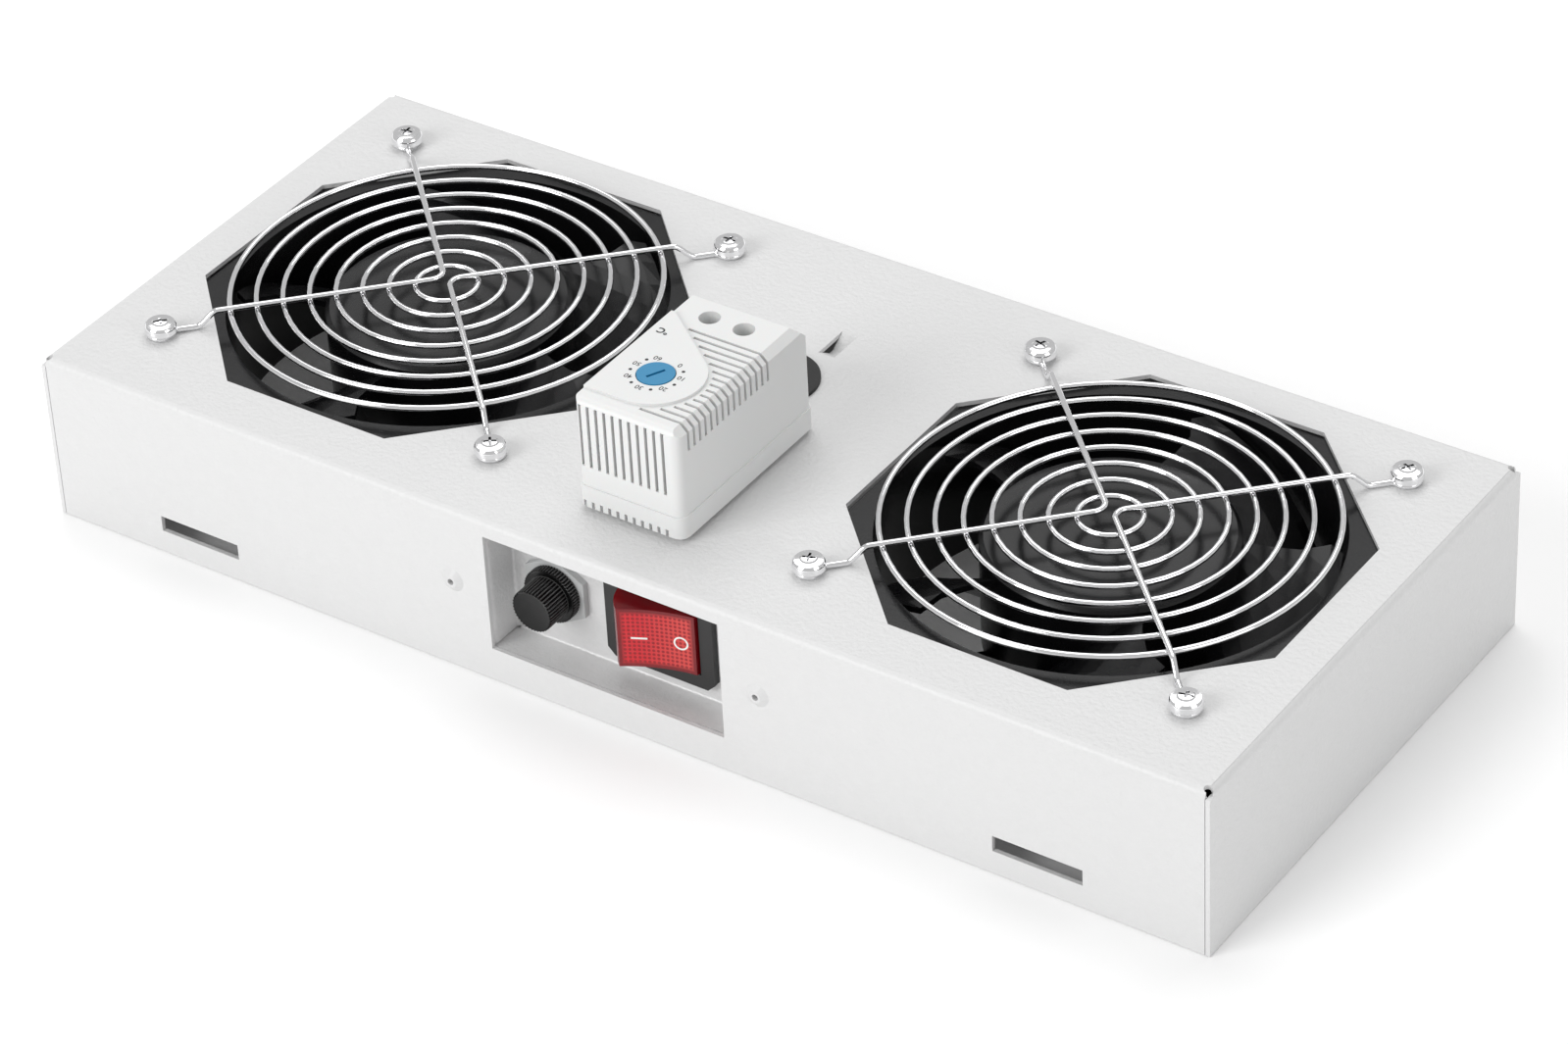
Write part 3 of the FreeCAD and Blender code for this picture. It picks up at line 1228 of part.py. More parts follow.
# --- cable entries, terminal block and earth ---
def bush(base, axis, outer, groove, bore):
    """Rubber bush in a sheet: one bead above, one below and the neck between; base lies on the outer face."""
    bead = GROMMET_BEAD
    profile = [(bore, -bead), (outer, -bead), (outer, 0), (groove, 0), (groove, SHEET),
               (outer, SHEET), (outer, SHEET + bead), (bore, SHEET + bead)]
    return turned(profile, base, axis)


def lead_grommet():
    return bush(V(GROMMET_X, GROMMET_Y, PLATE_TOP), -UP, GROMMET_R, GROMMET_GROOVE_R, GROMMET_BORE_R)


def inlet_grommet():
    return bush(V(INLET_X, REAR, BLOCK_Z), -INTO, INLET_R, INLET_GROOVE_R, INLET_BORE_R)


def block_screw_places():
    return [BLOCK_X - BLOCK_SCREW_PITCH / 2, BLOCK_X + BLOCK_SCREW_PITCH / 2]


def block_poles():
    return [BLOCK_X + (k - (BLOCK_POLES - 1) / 2) * BLOCK_SCREW_PITCH for k in range(BLOCK_POLES)]


def terminal_block():
    """Insulated block on the rear flange, with a wire tunnel for each pole and steps down to the rims."""
    inner = REAR - SHEET
    front = inner - BLOCK_DEPTH
    low, high = BLOCK_Z - BLOCK_HEIGHT / 2, BLOCK_Z + BLOCK_HEIGHT / 2
    shelf = BLOCK_DEPTH / 2
    body = side_prism([(inner, low), (inner, high), (inner - shelf, high), (front, high - BLOCK_STEP),
                       (front, low + BLOCK_STEP), (inner - shelf, low)],
                      BLOCK_X - BLOCK_LENGTH / 2, BLOCK_X + BLOCK_LENGTH / 2)
    tools = [box(x - SLEEVE_R, x + SLEEVE_R, inner - shelf - SLEEVE_R, inner - shelf + SLEEVE_R, low, high)
             for x in block_poles()]
    for x in block_screw_places():
        tools.append(small_bar(BLOCK_SCREW_R, V(x, front, BLOCK_Z), INTO, BLOCK_DEPTH))
    return cut(body, tools)


def block_sleeves():
    """Square brass clamps, one in each tunnel of the terminal block."""
    y = REAR - SHEET - BLOCK_DEPTH / 2
    low = BLOCK_Z - BLOCK_HEIGHT / 2 + BLOCK_STEP
    clamps = []
    for x in block_poles():
        outer, inner = [box(x - r, x + r, y - r, y + r, low, low + BLOCK_HEIGHT - 2 * BLOCK_STEP)
                        for r in (SLEEVE_R, SLEEVE_BORE_R)]
        clamps.append(outer.cut(inner))
    return clamps


def block_screws():
    """Screws through the block and the rear flange into thread of the flange; the tips stay flush outside."""
    screws = []
    for x in block_screw_places():
        seat = V(x, REAR - SHEET - BLOCK_DEPTH, BLOCK_Z)
        screws.append(joined([small_bar(BLOCK_SCREW_HEAD_R, seat, -INTO, BLOCK_SCREW_HEAD),
                              small_bar(BLOCK_SCREW_R, seat, INTO, BLOCK_DEPTH + SHEET)]))
    return screws


def earth_stud():
    return cylinder(EARTH_R, V(EARTH_X, REAR - SHEET, BLOCK_Z), -INTO, EARTH_LENGTH)


def earth_nut():
    base = V(EARTH_X, REAR - SHEET - NUT_HEIGHT, BLOCK_Z)
    return polygon_bar(NUT_FLATS, 6, base, INTO, NUT_HEIGHT).cut(cylinder(EARTH_R, base, INTO, NUT_HEIGHT))


def export(name, solids):
    shape = solids if isinstance(solids, Part.Shape) else Part.makeCompound(solids)
    shape.exportStep("parts/" + name + ".step")


def main():
    os.makedirs("parts", exist_ok=True)
    for piece in (tray, control_bracket, bracket_rivets, fan_frames, stator_cores, stator_coils, fan_bearings,
                  finger_guards, guard_screws, guard_nuts, thermostat_cover, thermostat_base, thermostat_dial,
                  bimetal_strip, thermostat_terminals, thermostat_screws, fuse_holder_body, fuse_terminals,
                  fuse_holder_nut,
                  fuse_cap, fuse_carrier, fuse_end_caps, fuse_glass, switch_housing, switch_terminals,
                  switch_rocker, neon_lamp, lead_grommet, inlet_grommet, terminal_block, block_sleeves,
                  block_screws, earth_stud, earth_nut):
        export(piece.__name__, piece())
    for side, (x, phase) in FANS.items():
        export("impeller_" + side, impeller(x, phase))
        export("rotor_shaft_" + side, rotor_shaft(x))


main()
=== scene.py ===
import json
import math

import bpy
from mathutils import Matrix, Vector


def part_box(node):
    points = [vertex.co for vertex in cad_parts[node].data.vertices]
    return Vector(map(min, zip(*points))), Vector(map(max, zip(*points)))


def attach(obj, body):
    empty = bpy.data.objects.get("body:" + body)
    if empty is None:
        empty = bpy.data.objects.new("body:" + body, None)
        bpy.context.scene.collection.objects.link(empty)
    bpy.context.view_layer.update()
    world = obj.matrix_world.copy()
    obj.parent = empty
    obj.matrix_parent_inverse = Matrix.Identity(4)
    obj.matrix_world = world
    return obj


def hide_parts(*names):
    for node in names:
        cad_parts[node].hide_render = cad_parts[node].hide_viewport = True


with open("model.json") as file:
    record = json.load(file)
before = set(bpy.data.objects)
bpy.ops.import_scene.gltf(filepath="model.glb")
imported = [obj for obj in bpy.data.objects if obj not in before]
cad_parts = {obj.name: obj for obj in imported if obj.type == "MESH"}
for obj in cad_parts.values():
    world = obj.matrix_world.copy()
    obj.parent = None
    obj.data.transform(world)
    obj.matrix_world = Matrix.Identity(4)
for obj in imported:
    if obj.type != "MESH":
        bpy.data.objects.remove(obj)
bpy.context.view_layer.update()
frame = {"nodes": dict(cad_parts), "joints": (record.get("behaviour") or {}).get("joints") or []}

bl_info = {
    "name": "Rack Fan Tray",
    "version": (1, 0, 0),
    "blender": (4, 5, 0),
    "location": "View3D > Sidebar > Fan Tray",
    "description": "Finishes and fine pieces of a rack fan tray, and the stage it stands on",
    "category": "Object",
}

MM = 0.001
UP = Vector((0, 0, 1))
FORWARDS = Vector((0, -1, 0))
FACING = 0.9
WELD = 0.005 * MM

# Guard wire: its apex beside the fan's axis, the radii of its bends, and where it drops to the plate.
APEX = 5.5 * MM
APEX_R = 3.5 * MM
NECK_R = 2.0 * MM
EYE_R = 2.3 * MM
DROP_START = 59.4 * MM
DROP_LENGTH = 5.8 * MM
DROP_SHARES = (0.0, 0.06, 0.16, 0.30, 0.50, 0.70, 0.84, 0.94, 1.0)
WIRE_SIDES = 10
RING_SIDES_PER_METRE = 1600
FEWEST_RING_SIDES = 40

# Guard screw: its head, with the straight part and each step of the dome as shares of the head's size.
HEAD_SIDES = 32
HEAD_STRAIGHT = 0.42
HEAD_DOME = ((0.96, 0.22), (0.86, 0.16), (0.70, 0.11), (0.44, 0.06), (0.18, 0.03))

# Its recess, as shares of the recess's span and the head's height, its shank, and the turn of each recess.
RECESS_ARM = 0.2
RECESS_DEPTH = 1.3
RECESS_FOOT = (0.45, 0.6, 1)
SHANK_R = 2.0 * MM
SHANK_LENGTH = 12 * MM
FIRST_TURN = 0.4
FAN_TURN = 1.1
SIDE_TURN = 0.7
END_TURN = 0.45

# Fuse cap, from its outer end: the knurled grip and skirt, then the plug with its socket.
GRIP_R = 5.93 * MM
GRIP_START = 0.3 * MM
GRIP_LENGTH = 6.9 * MM
GRIP_RIDGES = 40
GRIP_RIM = 0.45 * MM
GRIP_DISH = 0.15 * MM
SKIRT_R = 7.68 * MM
SKIRT_START = 7.5 * MM
SKIRT_LENGTH = 2.3 * MM
SKIRT_RIDGES = 56
PLUG_R = 4.4 * MM
PLUG_SIDES = 40
PLUG_WALL = 0.9 * MM
SOCKET_DEPTH = 5.5 * MM

# Its ridges, the part of their height that carries a painted highlight, and each step of a rounded rim: in,
# and outwards.
RIDGE = 0.36 * MM
HIGHLIGHT_BAND = 0.6 * RIDGE
HIGHLIGHT_FULL = 0.2
HIGHLIGHT_FADE = 0.05 * MM
ROUNDED_RIM = ((0.1 * MM, 0.18 * MM), (0.2 * MM, 0.12 * MM))

# Rocker: its dished face from the pivot, the bar and the ring on it, the grid and dark rim inside it, and
# the span of its painted glow.
FACE_RISE = 6.4 * MM
FACE_DISH = 1.1 * MM
FACE_HALF = 9.8 * MM
BAR_SIZE = (4.1 * MM, 0.5 * MM, 1)
BAR_PLACE = -4.6 * MM
RING_R = 1.95 * MM
RING_WIDTH = 0.45 * MM
RING_PLACE = 6.0 * MM
ROUND_SIDES = 40
MARK_DEPTH = 0.06 * MM
LENS_DOTS_PER_METRE = 850.0
LENS_DOT = (0.25, 0.42)
LENS_END = 9.2 * MM
LENS_SIDE = 8.0 * MM
LENS_RIM = 1.0 * MM
LENS_PAINTED_GLOW = (-4.0 * MM, 7.0 * MM)

# Printed scale: degrees about the dial at which each ten stands, the dots between, and the unit.
SCALE_ANGLES = (62.7, 13.0, -39.6, -92.0, -143.0, -192.0, -239.3)
SCALE_STEP = 10
DOT_R = 0.46 * MM
DOT_SIDES = 12
PRINT = 0.02 * MM
PRINT_WEIGHT = 0.005
UNIT_PLACE = Vector((-9.0 * MM, 16.1 * MM, 0))
UNIT_SIZE = 1.35
UNIT_WEIGHT = 0.03

# Stage.
FLOOR_SIZE = 8
FLOOR_DROP = 0.2 * MM
WORLD_STRENGTH = 0.55
CAMERA_PLACE = (0.692267, -0.954571, 0.871596)
CAMERA_TURN = (0.94106, 0.043434, 0.59281)
SENSOR_WIDTH = 36
VIEW_END = 50

# Finish of each CAD node.
FINISH_OF = {
    "tray": "powder_coat", "control_bracket": "galvanised", "bracket_rivets": "painted_rivet",
    "fan_frames": "fan_casting", "impeller_left": "impeller", "impeller_right": "impeller",
    "stator_cores": "lamination", "stator_coils": "winding", "fan_bearings": "bronze",
    "rotor_shaft_left": "steel", "rotor_shaft_right": "steel",
    "finger_guards": "chrome", "guard_screws": "chrome", "guard_nuts": "zinc",
    "thermostat_cover": "white_plastic", "thermostat_base": "white_plastic",
    "thermostat_dial": "dial_blue",
    "bimetal_strip": "steel", "thermostat_terminals": "brass", "thermostat_screws": "zinc",
    "fuse_holder_body": "black_plastic", "fuse_terminals": "nickel", "fuse_holder_nut": "grey_plastic",
    "fuse_cap": "black_plastic", "fuse_carrier": "brass",
    "fuse_end_caps": "nickel", "fuse_glass": "clear_glass",
    "switch_housing": "bezel_plastic", "switch_terminals": "nickel", "switch_rocker": "rocker_red",
    "neon_lamp": "clear_glass", "lead_grommet": "rubber", "inlet_grommet": "rubber",
    "terminal_block": "white_plastic", "block_sleeves": "brass", "block_screws": "zinc",
    "earth_stud": "zinc", "earth_nut": "zinc",
}


# ---------------------------------------------------------------- properties
def distance(name, description, default):
    return bpy.props.FloatProperty(name=name, description=description, default=default, unit="LENGTH")


def tint(name, description, default):
    return bpy.props.FloatVectorProperty(name=name, description=description, default=default,
                                         subtype="COLOR", size=3, min=0, max=1)


class FANTRAY_PG_sizes(bpy.types.PropertyGroup):
    fan_x: distance("Fan spacing", "Distance of each fan axis from the middle", 0.100)
    fan_y: distance("Fan offset", "Fan axes behind the middle of the tray", 0.002)
    screw_square: distance("Screw square", "Side of each fan's screw square", 0.105)
    wire: distance("Guard wire", "Diameter of the finger guard wire", 0.0016)
    rings: bpy.props.IntProperty(name="Rings", description="Rings in each finger guard", default=8, min=2)
    ring_outer: distance("Outer ring", "Radius of the outer ring's middle line", 0.056)
    ring_pitch: distance("Ring pitch", "Step from ring to ring", 0.00684)
    ring_lift: distance("Ring lift", "Underside of the rings above the plate", 0.0024)
    head_radius: distance("Screw head", "Radius of a guard screw's head", 0.00425)
    head_height: distance("Head height", "Height of a guard screw's head", 0.0029)
    recess: distance("Cross recess", "Span of the cross recess in a screw head", 0.0046)
    dial_radius: distance("Scale radius", "Radius of the thermostat's numerals", 0.0067)
    numeral: distance("Numeral height", "Size of the numerals on the scale", 0.0022)
    tilt: bpy.props.FloatProperty(name="Rocker tilt", description="Tilt of the rocker at rest",
                                  default=math.radians(20.0), subtype="ANGLE")


class FANTRAY_PG_looks(bpy.types.PropertyGroup):
    coat: tint("Powder coat", "Colour of the painted sheet", (0.68, 0.68, 0.68))
    plastic: tint("White plastic", "Colour of the thermostat", (0.74, 0.745, 0.74))
    black: tint("Fan black", "Colour of the fan frames", (0.0045, 0.0045, 0.005))
    rocker: tint("Rocker red", "Colour of the switch rocker", (0.74, 0.012, 0.022))
    dial: tint("Dial blue", "Colour of the thermostat's dial", (0.018, 0.225, 0.43))
    floor: tint("Floor", "Colour of the floor", (0.95, 0.95, 0.95))
    lens: bpy.props.FloatProperty(name="Lens", description="Focal length of the camera in millimetres",
                                  default=132.15)


# ---------------------------------------------------------------- finishes
FINISHES = {}


def noise(nodes, links, coords, scale, detail, rough):
    texture = nodes.new("ShaderNodeTexNoise")
    texture.inputs["Scale"].default_value = scale
    texture.inputs["Detail"].default_value = detail
    texture.inputs["Roughness"].default_value = rough
    links.new(coords.outputs["Object"], texture.inputs["Vector"])
    return texture


def finish(name, colour, roughness=0.4, metallic=0.0, grain=900.0, depth=0.00002, strength=0.25,
           mottle=0.04, mottle_scale=60.0, rough_spread=0.08, **sockets):
    """Procedural finish: mottled colour, uneven gloss and a fine grain, all from object coordinates."""
    made = bpy.data.materials.new(name)
    made.use_nodes = True
    FINISHES[name] = made
    nodes, links = made.node_tree.nodes, made.node_tree.links
    shader = nodes["Principled BSDF"]
    shader.inputs["Metallic"].default_value = metallic
    for socket, value in sockets.items():
        shader.inputs[socket.replace("_", " ")].default_value = value
    coords = nodes.new("ShaderNodeTexCoord")
    broad = noise(nodes, links, coords, mottle_scale, detail=4.0, rough=0.55)
    mix = nodes.new("ShaderNodeMix")
    mix.data_type = "RGBA"
    mix.inputs["A"].default_value = [c * (1 - mottle) for c in colour] + [1]
    mix.inputs["B"].default_value = [min(1.0, c * (1 + mottle)) for c in colour] + [1]
    links.new(broad.outputs["Fac"], mix.inputs["Factor"])
    links.new(mix.outputs["Result"], shader.inputs["Base Color"])
    gloss = nodes.new("ShaderNodeMapRange")
    gloss.inputs["To Min"].default_value = max(0.02, roughness - rough_spread)
    gloss.inputs["To Max"].default_value = min(1.0, roughness + rough_spread)
    links.new(broad.outputs["Fac"], gloss.inputs["Value"])
    links.new(gloss.outputs["Result"], shader.inputs["Roughness"])
    fine = noise(nodes, links, coords, grain, detail=2.0, rough=0.5)
    bump = nodes.new("ShaderNodeBump")
    bump.inputs["Strength"].default_value = strength
    bump.inputs["Distance"].default_value = depth
    links.new(fine.outputs["Fac"], bump.inputs["Height"])
    links.new(bump.outputs["Normal"], shader.inputs["Normal"])
    return made


def ranged(nodes, links, source, low, high, start=0.0, end=1.0):
    """Maps a value from low..high to start..end."""
    node = nodes.new("ShaderNodeMapRange")
    for socket, value in (("From Min", low), ("From Max", high), ("To Min", start), ("To Max", end)):
        node.inputs[socket].default_value = value
    links.new(source, node.inputs["Value"])
    return node.outputs["Result"]


def blended(nodes, links, factor, source, colour):
    """Colour that moves from source to a fixed colour as the factor rises."""
    node = nodes.new("ShaderNodeMix")
    node.data_type = "RGBA"
    links.new(factor, node.inputs["Factor"])
    links.new(source, node.inputs["A"])
    node.inputs["B"].default_value = (*colour, 1)
    return node.outputs["Result"]


def combined(nodes, links, operation, first, second=None):
    """Result of a math node on one or two values."""
    node = nodes.new("ShaderNodeMath")
    node.operation = operation
    links.new(first, node.inputs[0])
    if second:
        links.new(second, node.inputs[1])
    return node.outputs["Value"]


def red_lens(name, colour, pivot, tilt):
    """Translucent red plastic in the rocker's own frame: a grid of dots, a dark rim, and painted light that
    lightens one end.
    """
    made = finish(name, colour, roughness=0.20, grain=500.0, mottle=0.05, mottle_scale=90.0,
                  rough_spread=0.05, Transmission_Weight=0.15, Subsurface_Weight=0.1, IOR=1.49)
    nodes, links = made.node_tree.nodes, made.node_tree.links
    base = nodes["Principled BSDF"].inputs["Base Color"]
    own = nodes.new("ShaderNodeMapping")
    own.vector_type = "TEXTURE"
    own.inputs["Location"].default_value = pivot
    own.inputs["Rotation"].default_value = (math.radians(90), 0, tilt)
    links.new(nodes["Texture Coordinate"].outputs["Object"], own.inputs["Vector"])
    parts = nodes.new("ShaderNodeSeparateXYZ")
    links.new(own.outputs["Vector"], parts.inputs["Vector"])
    along, across = parts.outputs["X"], parts.outputs["Y"]
    grid = nodes.new("ShaderNodeTexVoronoi")
    grid.voronoi_dimensions = "2D"
    grid.inputs["Scale"].default_value = LENS_DOTS_PER_METRE
    grid.inputs["Randomness"].default_value = 0.0
    links.new(own.outputs["Vector"], grid.inputs["Vector"])
    dots = ranged(nodes, links, grid.outputs["Distance"], *LENS_DOT, start=0.85, end=0.0)
    ends = ranged(nodes, links, combined(nodes, links, "ABSOLUTE", along), LENS_END - LENS_RIM, LENS_END)
    sides = ranged(nodes, links, combined(nodes, links, "ABSOLUTE", across), LENS_SIDE - LENS_RIM, LENS_SIDE)
    rim = combined(nodes, links, "MAXIMUM", ends, sides)
    # Painted light: the red is lightened towards one end of the rocker in the base colour, with no lamp
    # behind it.
    painted_glow = ranged(nodes, links, along, *LENS_PAINTED_GLOW, end=0.55)
    lit = blended(nodes, links, painted_glow, base.links[0].from_socket, (0.86, 0.10, 0.08))
    dotted = blended(nodes, links, dots, lit, (0.27, 0.004, 0.009))
    links.new(blended(nodes, links, rim, dotted, (0.21, 0.002, 0.006)), base)


def painted_highlight_knurl(name, axis, radii):
    """Black knurled plastic with a painted highlight: the crests of its ridges, at known radii from its
    axis, are painted lighter.
    """
    made = finish(name, (0.003, 0.003, 0.003), Specular_IOR_Level=0.25, roughness=0.24, grain=1600.0,
                  mottle=0.1, rough_spread=0.04)
    nodes, links = made.node_tree.nodes, made.node_tree.links
    base = nodes["Principled BSDF"].inputs["Base Color"]
    # The place along the axis is scaled to nothing, so that a length is the distance from the axis.
    own = nodes.new("ShaderNodeMapping")
    own.vector_type = "TEXTURE"
    own.inputs["Location"].default_value = axis
    own.inputs["Scale"].default_value = (1, 1e6, 1)
    links.new(nodes["Texture Coordinate"].outputs["Object"], own.inputs["Vector"])
    away = nodes.new("ShaderNodeVectorMath")
    away.operation = "LENGTH"
    links.new(own.outputs["Vector"], away.inputs[0])
    away = away.outputs["Value"]
    bands = []
    for radius in radii:
        rise = ranged(nodes, links, away, radius - HIGHLIGHT_BAND, radius - HIGHLIGHT_FULL * HIGHLIGHT_BAND)
        fall = ranged(nodes, links, away, radius + HIGHLIGHT_FADE, radius + 2 * HIGHLIGHT_FADE, start=1.0, end=0.0)
        bands.append(combined(nodes, links, "MULTIPLY", rise, fall))
    crest_highlight = combined(nodes, links, "MAXIMUM", *bands)
    # Painted highlight: the ridge crests are lightened to grey in the base colour, in place of the glints
    # that light would give them.
    links.new(blended(nodes, links, crest_highlight, base.links[0].from_socket, (0.10, 0.10, 0.10)), base)


def brushed(name, colour, roughness, across):
    """Metal with fine lines: the grain is stretched along the axes with a small scale."""
    grain = 400.0
    made = finish(name, colour, roughness=roughness, metallic=1.0, grain=grain, depth=0.00001, mottle=0.03)
    nodes, links = made.node_tree.nodes, made.node_tree.links
    mapping = nodes.new("ShaderNodeMapping")
    mapping.inputs["Scale"].default_value = across
    links.new(nodes["Texture Coordinate"].outputs["Object"], mapping.inputs["Vector"])
    for node in nodes:
        if node.type == "TEX_NOISE" and node.inputs["Scale"].default_value == grain:
            links.new(mapping.outputs["Vector"], node.inputs["Vector"])


def make_finishes(looks):
    coat = tuple(looks.coat)
    finish("powder_coat", coat, roughness=0.40, grain=800.0, depth=0.0003, strength=0.7, mottle=0.02,
           mottle_scale=300.0)
    finish("galvanised", (0.71, 0.71, 0.71), roughness=0.42, metallic=0.20, grain=1100.0, depth=0.0003,
           strength=0.7, mottle=0.05, mottle_scale=500.0, rough_spread=0.1)
    finish("painted_rivet", [c * 0.97 for c in coat], roughness=0.42, grain=1500.0, depth=0.00004,
           strength=0.3, mottle=0.02)
    finish("white_plastic", tuple(looks.plastic), roughness=0.38, grain=2600.0, depth=0.00003,
           strength=0.3, mottle=0.01, mottle_scale=40.0, rough_spread=0.05,
           Subsurface_Weight=0.04, Subsurface_Scale=0.002)
    finish("fan_casting", tuple(looks.black), Specular_IOR_Level=0.3, roughness=0.24, grain=1200.0,
           depth=0.00005, strength=0.4, mottle=0.15, rough_spread=0.1)
    finish("impeller", [c * 1.1 for c in looks.black], Specular_IOR_Level=0.4, roughness=0.26, grain=600.0,
           depth=0.00003, mottle=0.12)
    finish("chrome", (0.90, 0.90, 0.91), roughness=0.08, metallic=1.0, grain=700.0, depth=0.00001,
           strength=0.05, mottle=0.03, rough_spread=0.04)
    finish("zinc", (0.56, 0.57, 0.58), roughness=0.3, metallic=1.0, mottle=0.1, mottle_scale=300.0)
    finish("nickel", (0.66, 0.64, 0.60), roughness=0.22, metallic=1.0, mottle=0.05)
    finish("brass", (0.72, 0.52, 0.22), roughness=0.28, metallic=1.0, mottle=0.06)
    finish("bronze", (0.50, 0.33, 0.16), roughness=0.42, metallic=1.0, grain=2500.0, mottle=0.12)
    brushed("steel", (0.60, 0.60, 0.62), 0.26, (1, 1, 0.05))
    brushed("lamination", (0.30, 0.30, 0.31), 0.5, (0.05, 0.05, 6.0))
    brushed("winding", (0.46, 0.16, 0.05), 0.35, (0.1, 0.1, 5.0))
    finish("black_plastic", (0.004, 0.004, 0.0045), Specular_IOR_Level=0.5, roughness=0.22, grain=1600.0,
           depth=0.00003, mottle=0.15)
    # Knurled cap plastic, with painted highlights on its ridge crests.
    painted_highlight_knurl("cap_plastic", cap_axis(), (GRIP_R, SKIRT_R))
    finish("bezel_plastic", (0.014, 0.014, 0.014), roughness=0.40, grain=2200.0, depth=0.00004,
           strength=0.4, mottle=0.12)
    finish("grey_plastic", (0.50, 0.51, 0.51), roughness=0.42, grain=1500.0, depth=0.00003, mottle=0.04)
    finish("dial_blue", tuple(looks.dial), roughness=0.40, grain=1800.0, depth=0.00003, mottle=0.04)
    finish("rubber", (0.010, 0.010, 0.010), roughness=0.62, grain=1400.0, depth=0.00006, strength=0.5,
           mottle=0.2)
    finish("clear_glass", (0.93, 0.96, 0.96), roughness=0.05, grain=300.0, mottle=0.01, rough_spread=0.02,
           Transmission_Weight=0.95, IOR=1.5)
    finish("printed_black", (0.03, 0.03, 0.03), roughness=0.6, grain=2500.0, mottle=0.1)
    finish("printed_white", (0.88, 0.86, 0.84), roughness=0.5, grain=2500.0, mottle=0.03)
    finish("plain_floor", tuple(looks.floor), Emission_Color=(1, 1, 1, 1), Emission_Strength=0.05,
           roughness=0.75, grain=120.0, depth=0.0001, strength=0.05, mottle=0.01, mottle_scale=3.0)
    pivot, tilt = rocker_frame()
    red_lens("rocker_red", tuple(looks.rocker), pivot, tilt)


# ---------------------------------------------------------------- modelling helpers
def clear_selection():
    if bpy.context.object and bpy.context.object.mode != "OBJECT":
        bpy.ops.object.mode_set(mode="OBJECT")
    bpy.ops.object.select_all(action="DESELECT")


def select_only(piece):
    clear_selection()
    piece.select_set(True)
    bpy.context.view_layer.objects.active = piece


def edit(action="SELECT"):
    bpy.ops.object.mode_set(mode="EDIT")
    bpy.ops.mesh.select_all(action=action)


def pick_faces(direction):
    """Selects the active mesh's faces that look in a direction, in face mode."""
    mesh = bpy.context.object.data
    bpy.ops.object.mode_set(mode="OBJECT")
    for item in (mesh.vertices, mesh.edges):
        for part in item:
            part.select = False
    for face in mesh.polygons:
        face.select = face.normal.dot(direction) > FACING
    bpy.ops.object.mode_set(mode="EDIT")
    bpy.ops.mesh.select_mode(type="FACE")


def pick_points(test):
    """Selects the active mesh's vertices whose place passes the test, in vertex mode."""
    edit("DESELECT")
    bpy.ops.mesh.select_mode(type="VERT")
    bpy.ops.object.mode_set(mode="OBJECT")
    for vertex in bpy.context.object.data.vertices:
        vertex.select = bool(test(vertex.co))
    bpy.ops.object.mode_set(mode="EDIT")


def settle(piece, name, material, body, smooth):
    """Names a piece, puts its place into its mesh, and gives it its finish and its body."""
    select_only(piece)
    bpy.ops.object.transform_apply(location=True, rotation=True, scale=True)
    bpy.ops.object.shade_smooth_by_angle(angle=math.radians(smooth))
    piece.name = name
    piece.data.name = name
    piece.data.materials.clear()
    piece.data.materials.append(FINISHES[material])
    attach(piece, body)
    return piece


def join(pieces):
    clear_selection()
    for piece in pieces:
        piece.select_set(True)
    bpy.context.view_layer.objects.active = pieces[0]
    bpy.ops.object.join()
    return bpy.context.object


def copy_to(piece, place):
    select_only(piece)
    bpy.ops.object.duplicate(linked=False)
    bpy.ops.transform.translate(value=place)
    return bpy.context.object


def tidy_mesh():
    """Merges doubles and turns all faces outwards, in edit mode, then goes back to object mode."""
    bpy.ops.mesh.select_all(action="SELECT")
    bpy.ops.mesh.remove_doubles(threshold=WELD)
    bpy.ops.mesh.normals_make_consistent(inside=False)
    bpy.ops.object.mode_set(mode="OBJECT")


def plate_top():
    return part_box("finger_guards")[0][2]


def fan_centres(sizes):
    return [Vector((side * sizes.fan_x, sizes.fan_y, 0)) for side in (-1, 1)]


def cap_axis():
    """A point on the axis of the fuse cap, which runs along Y."""
    low, high = (Vector(v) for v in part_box("fuse_cap"))
    return (low + high) / 2


def rocker_frame():
    """Pivot of the rocker and its tilt at rest."""
    joint = next(j for j in frame["joints"] if j["name"] == "rocker_tilt")
    return Vector(joint["pos_m"]), bpy.context.scene.fantray_sizes.tilt


def arc(centre, start, degrees, steps):
    """Points after start, turned about a vertical line through centre."""
    return [centre + Matrix.Rotation(math.radians(degrees * k / steps), 3, "Z") @ (start - centre)
            for k in range(1, steps + 1)]


# ---------------------------------------------------------------- pieces
class FANTRAY_OT_finishes(bpy.types.Operator):
    """Give every CAD node its finish"""
    bl_idname = "fantray.finishes"
    bl_label = "Finishes"

    def execute(self, context):
        make_finishes(context.scene.fantray_looks)
        for name, node in frame["nodes"].items():
            material = FINISHES[FINISH_OF[name]]
            if not node.material_slots:
                raise RuntimeError("no material slot on " + name)
            for slot in node.material_slots:
                slot.material = material
        return {"FINISHED"}


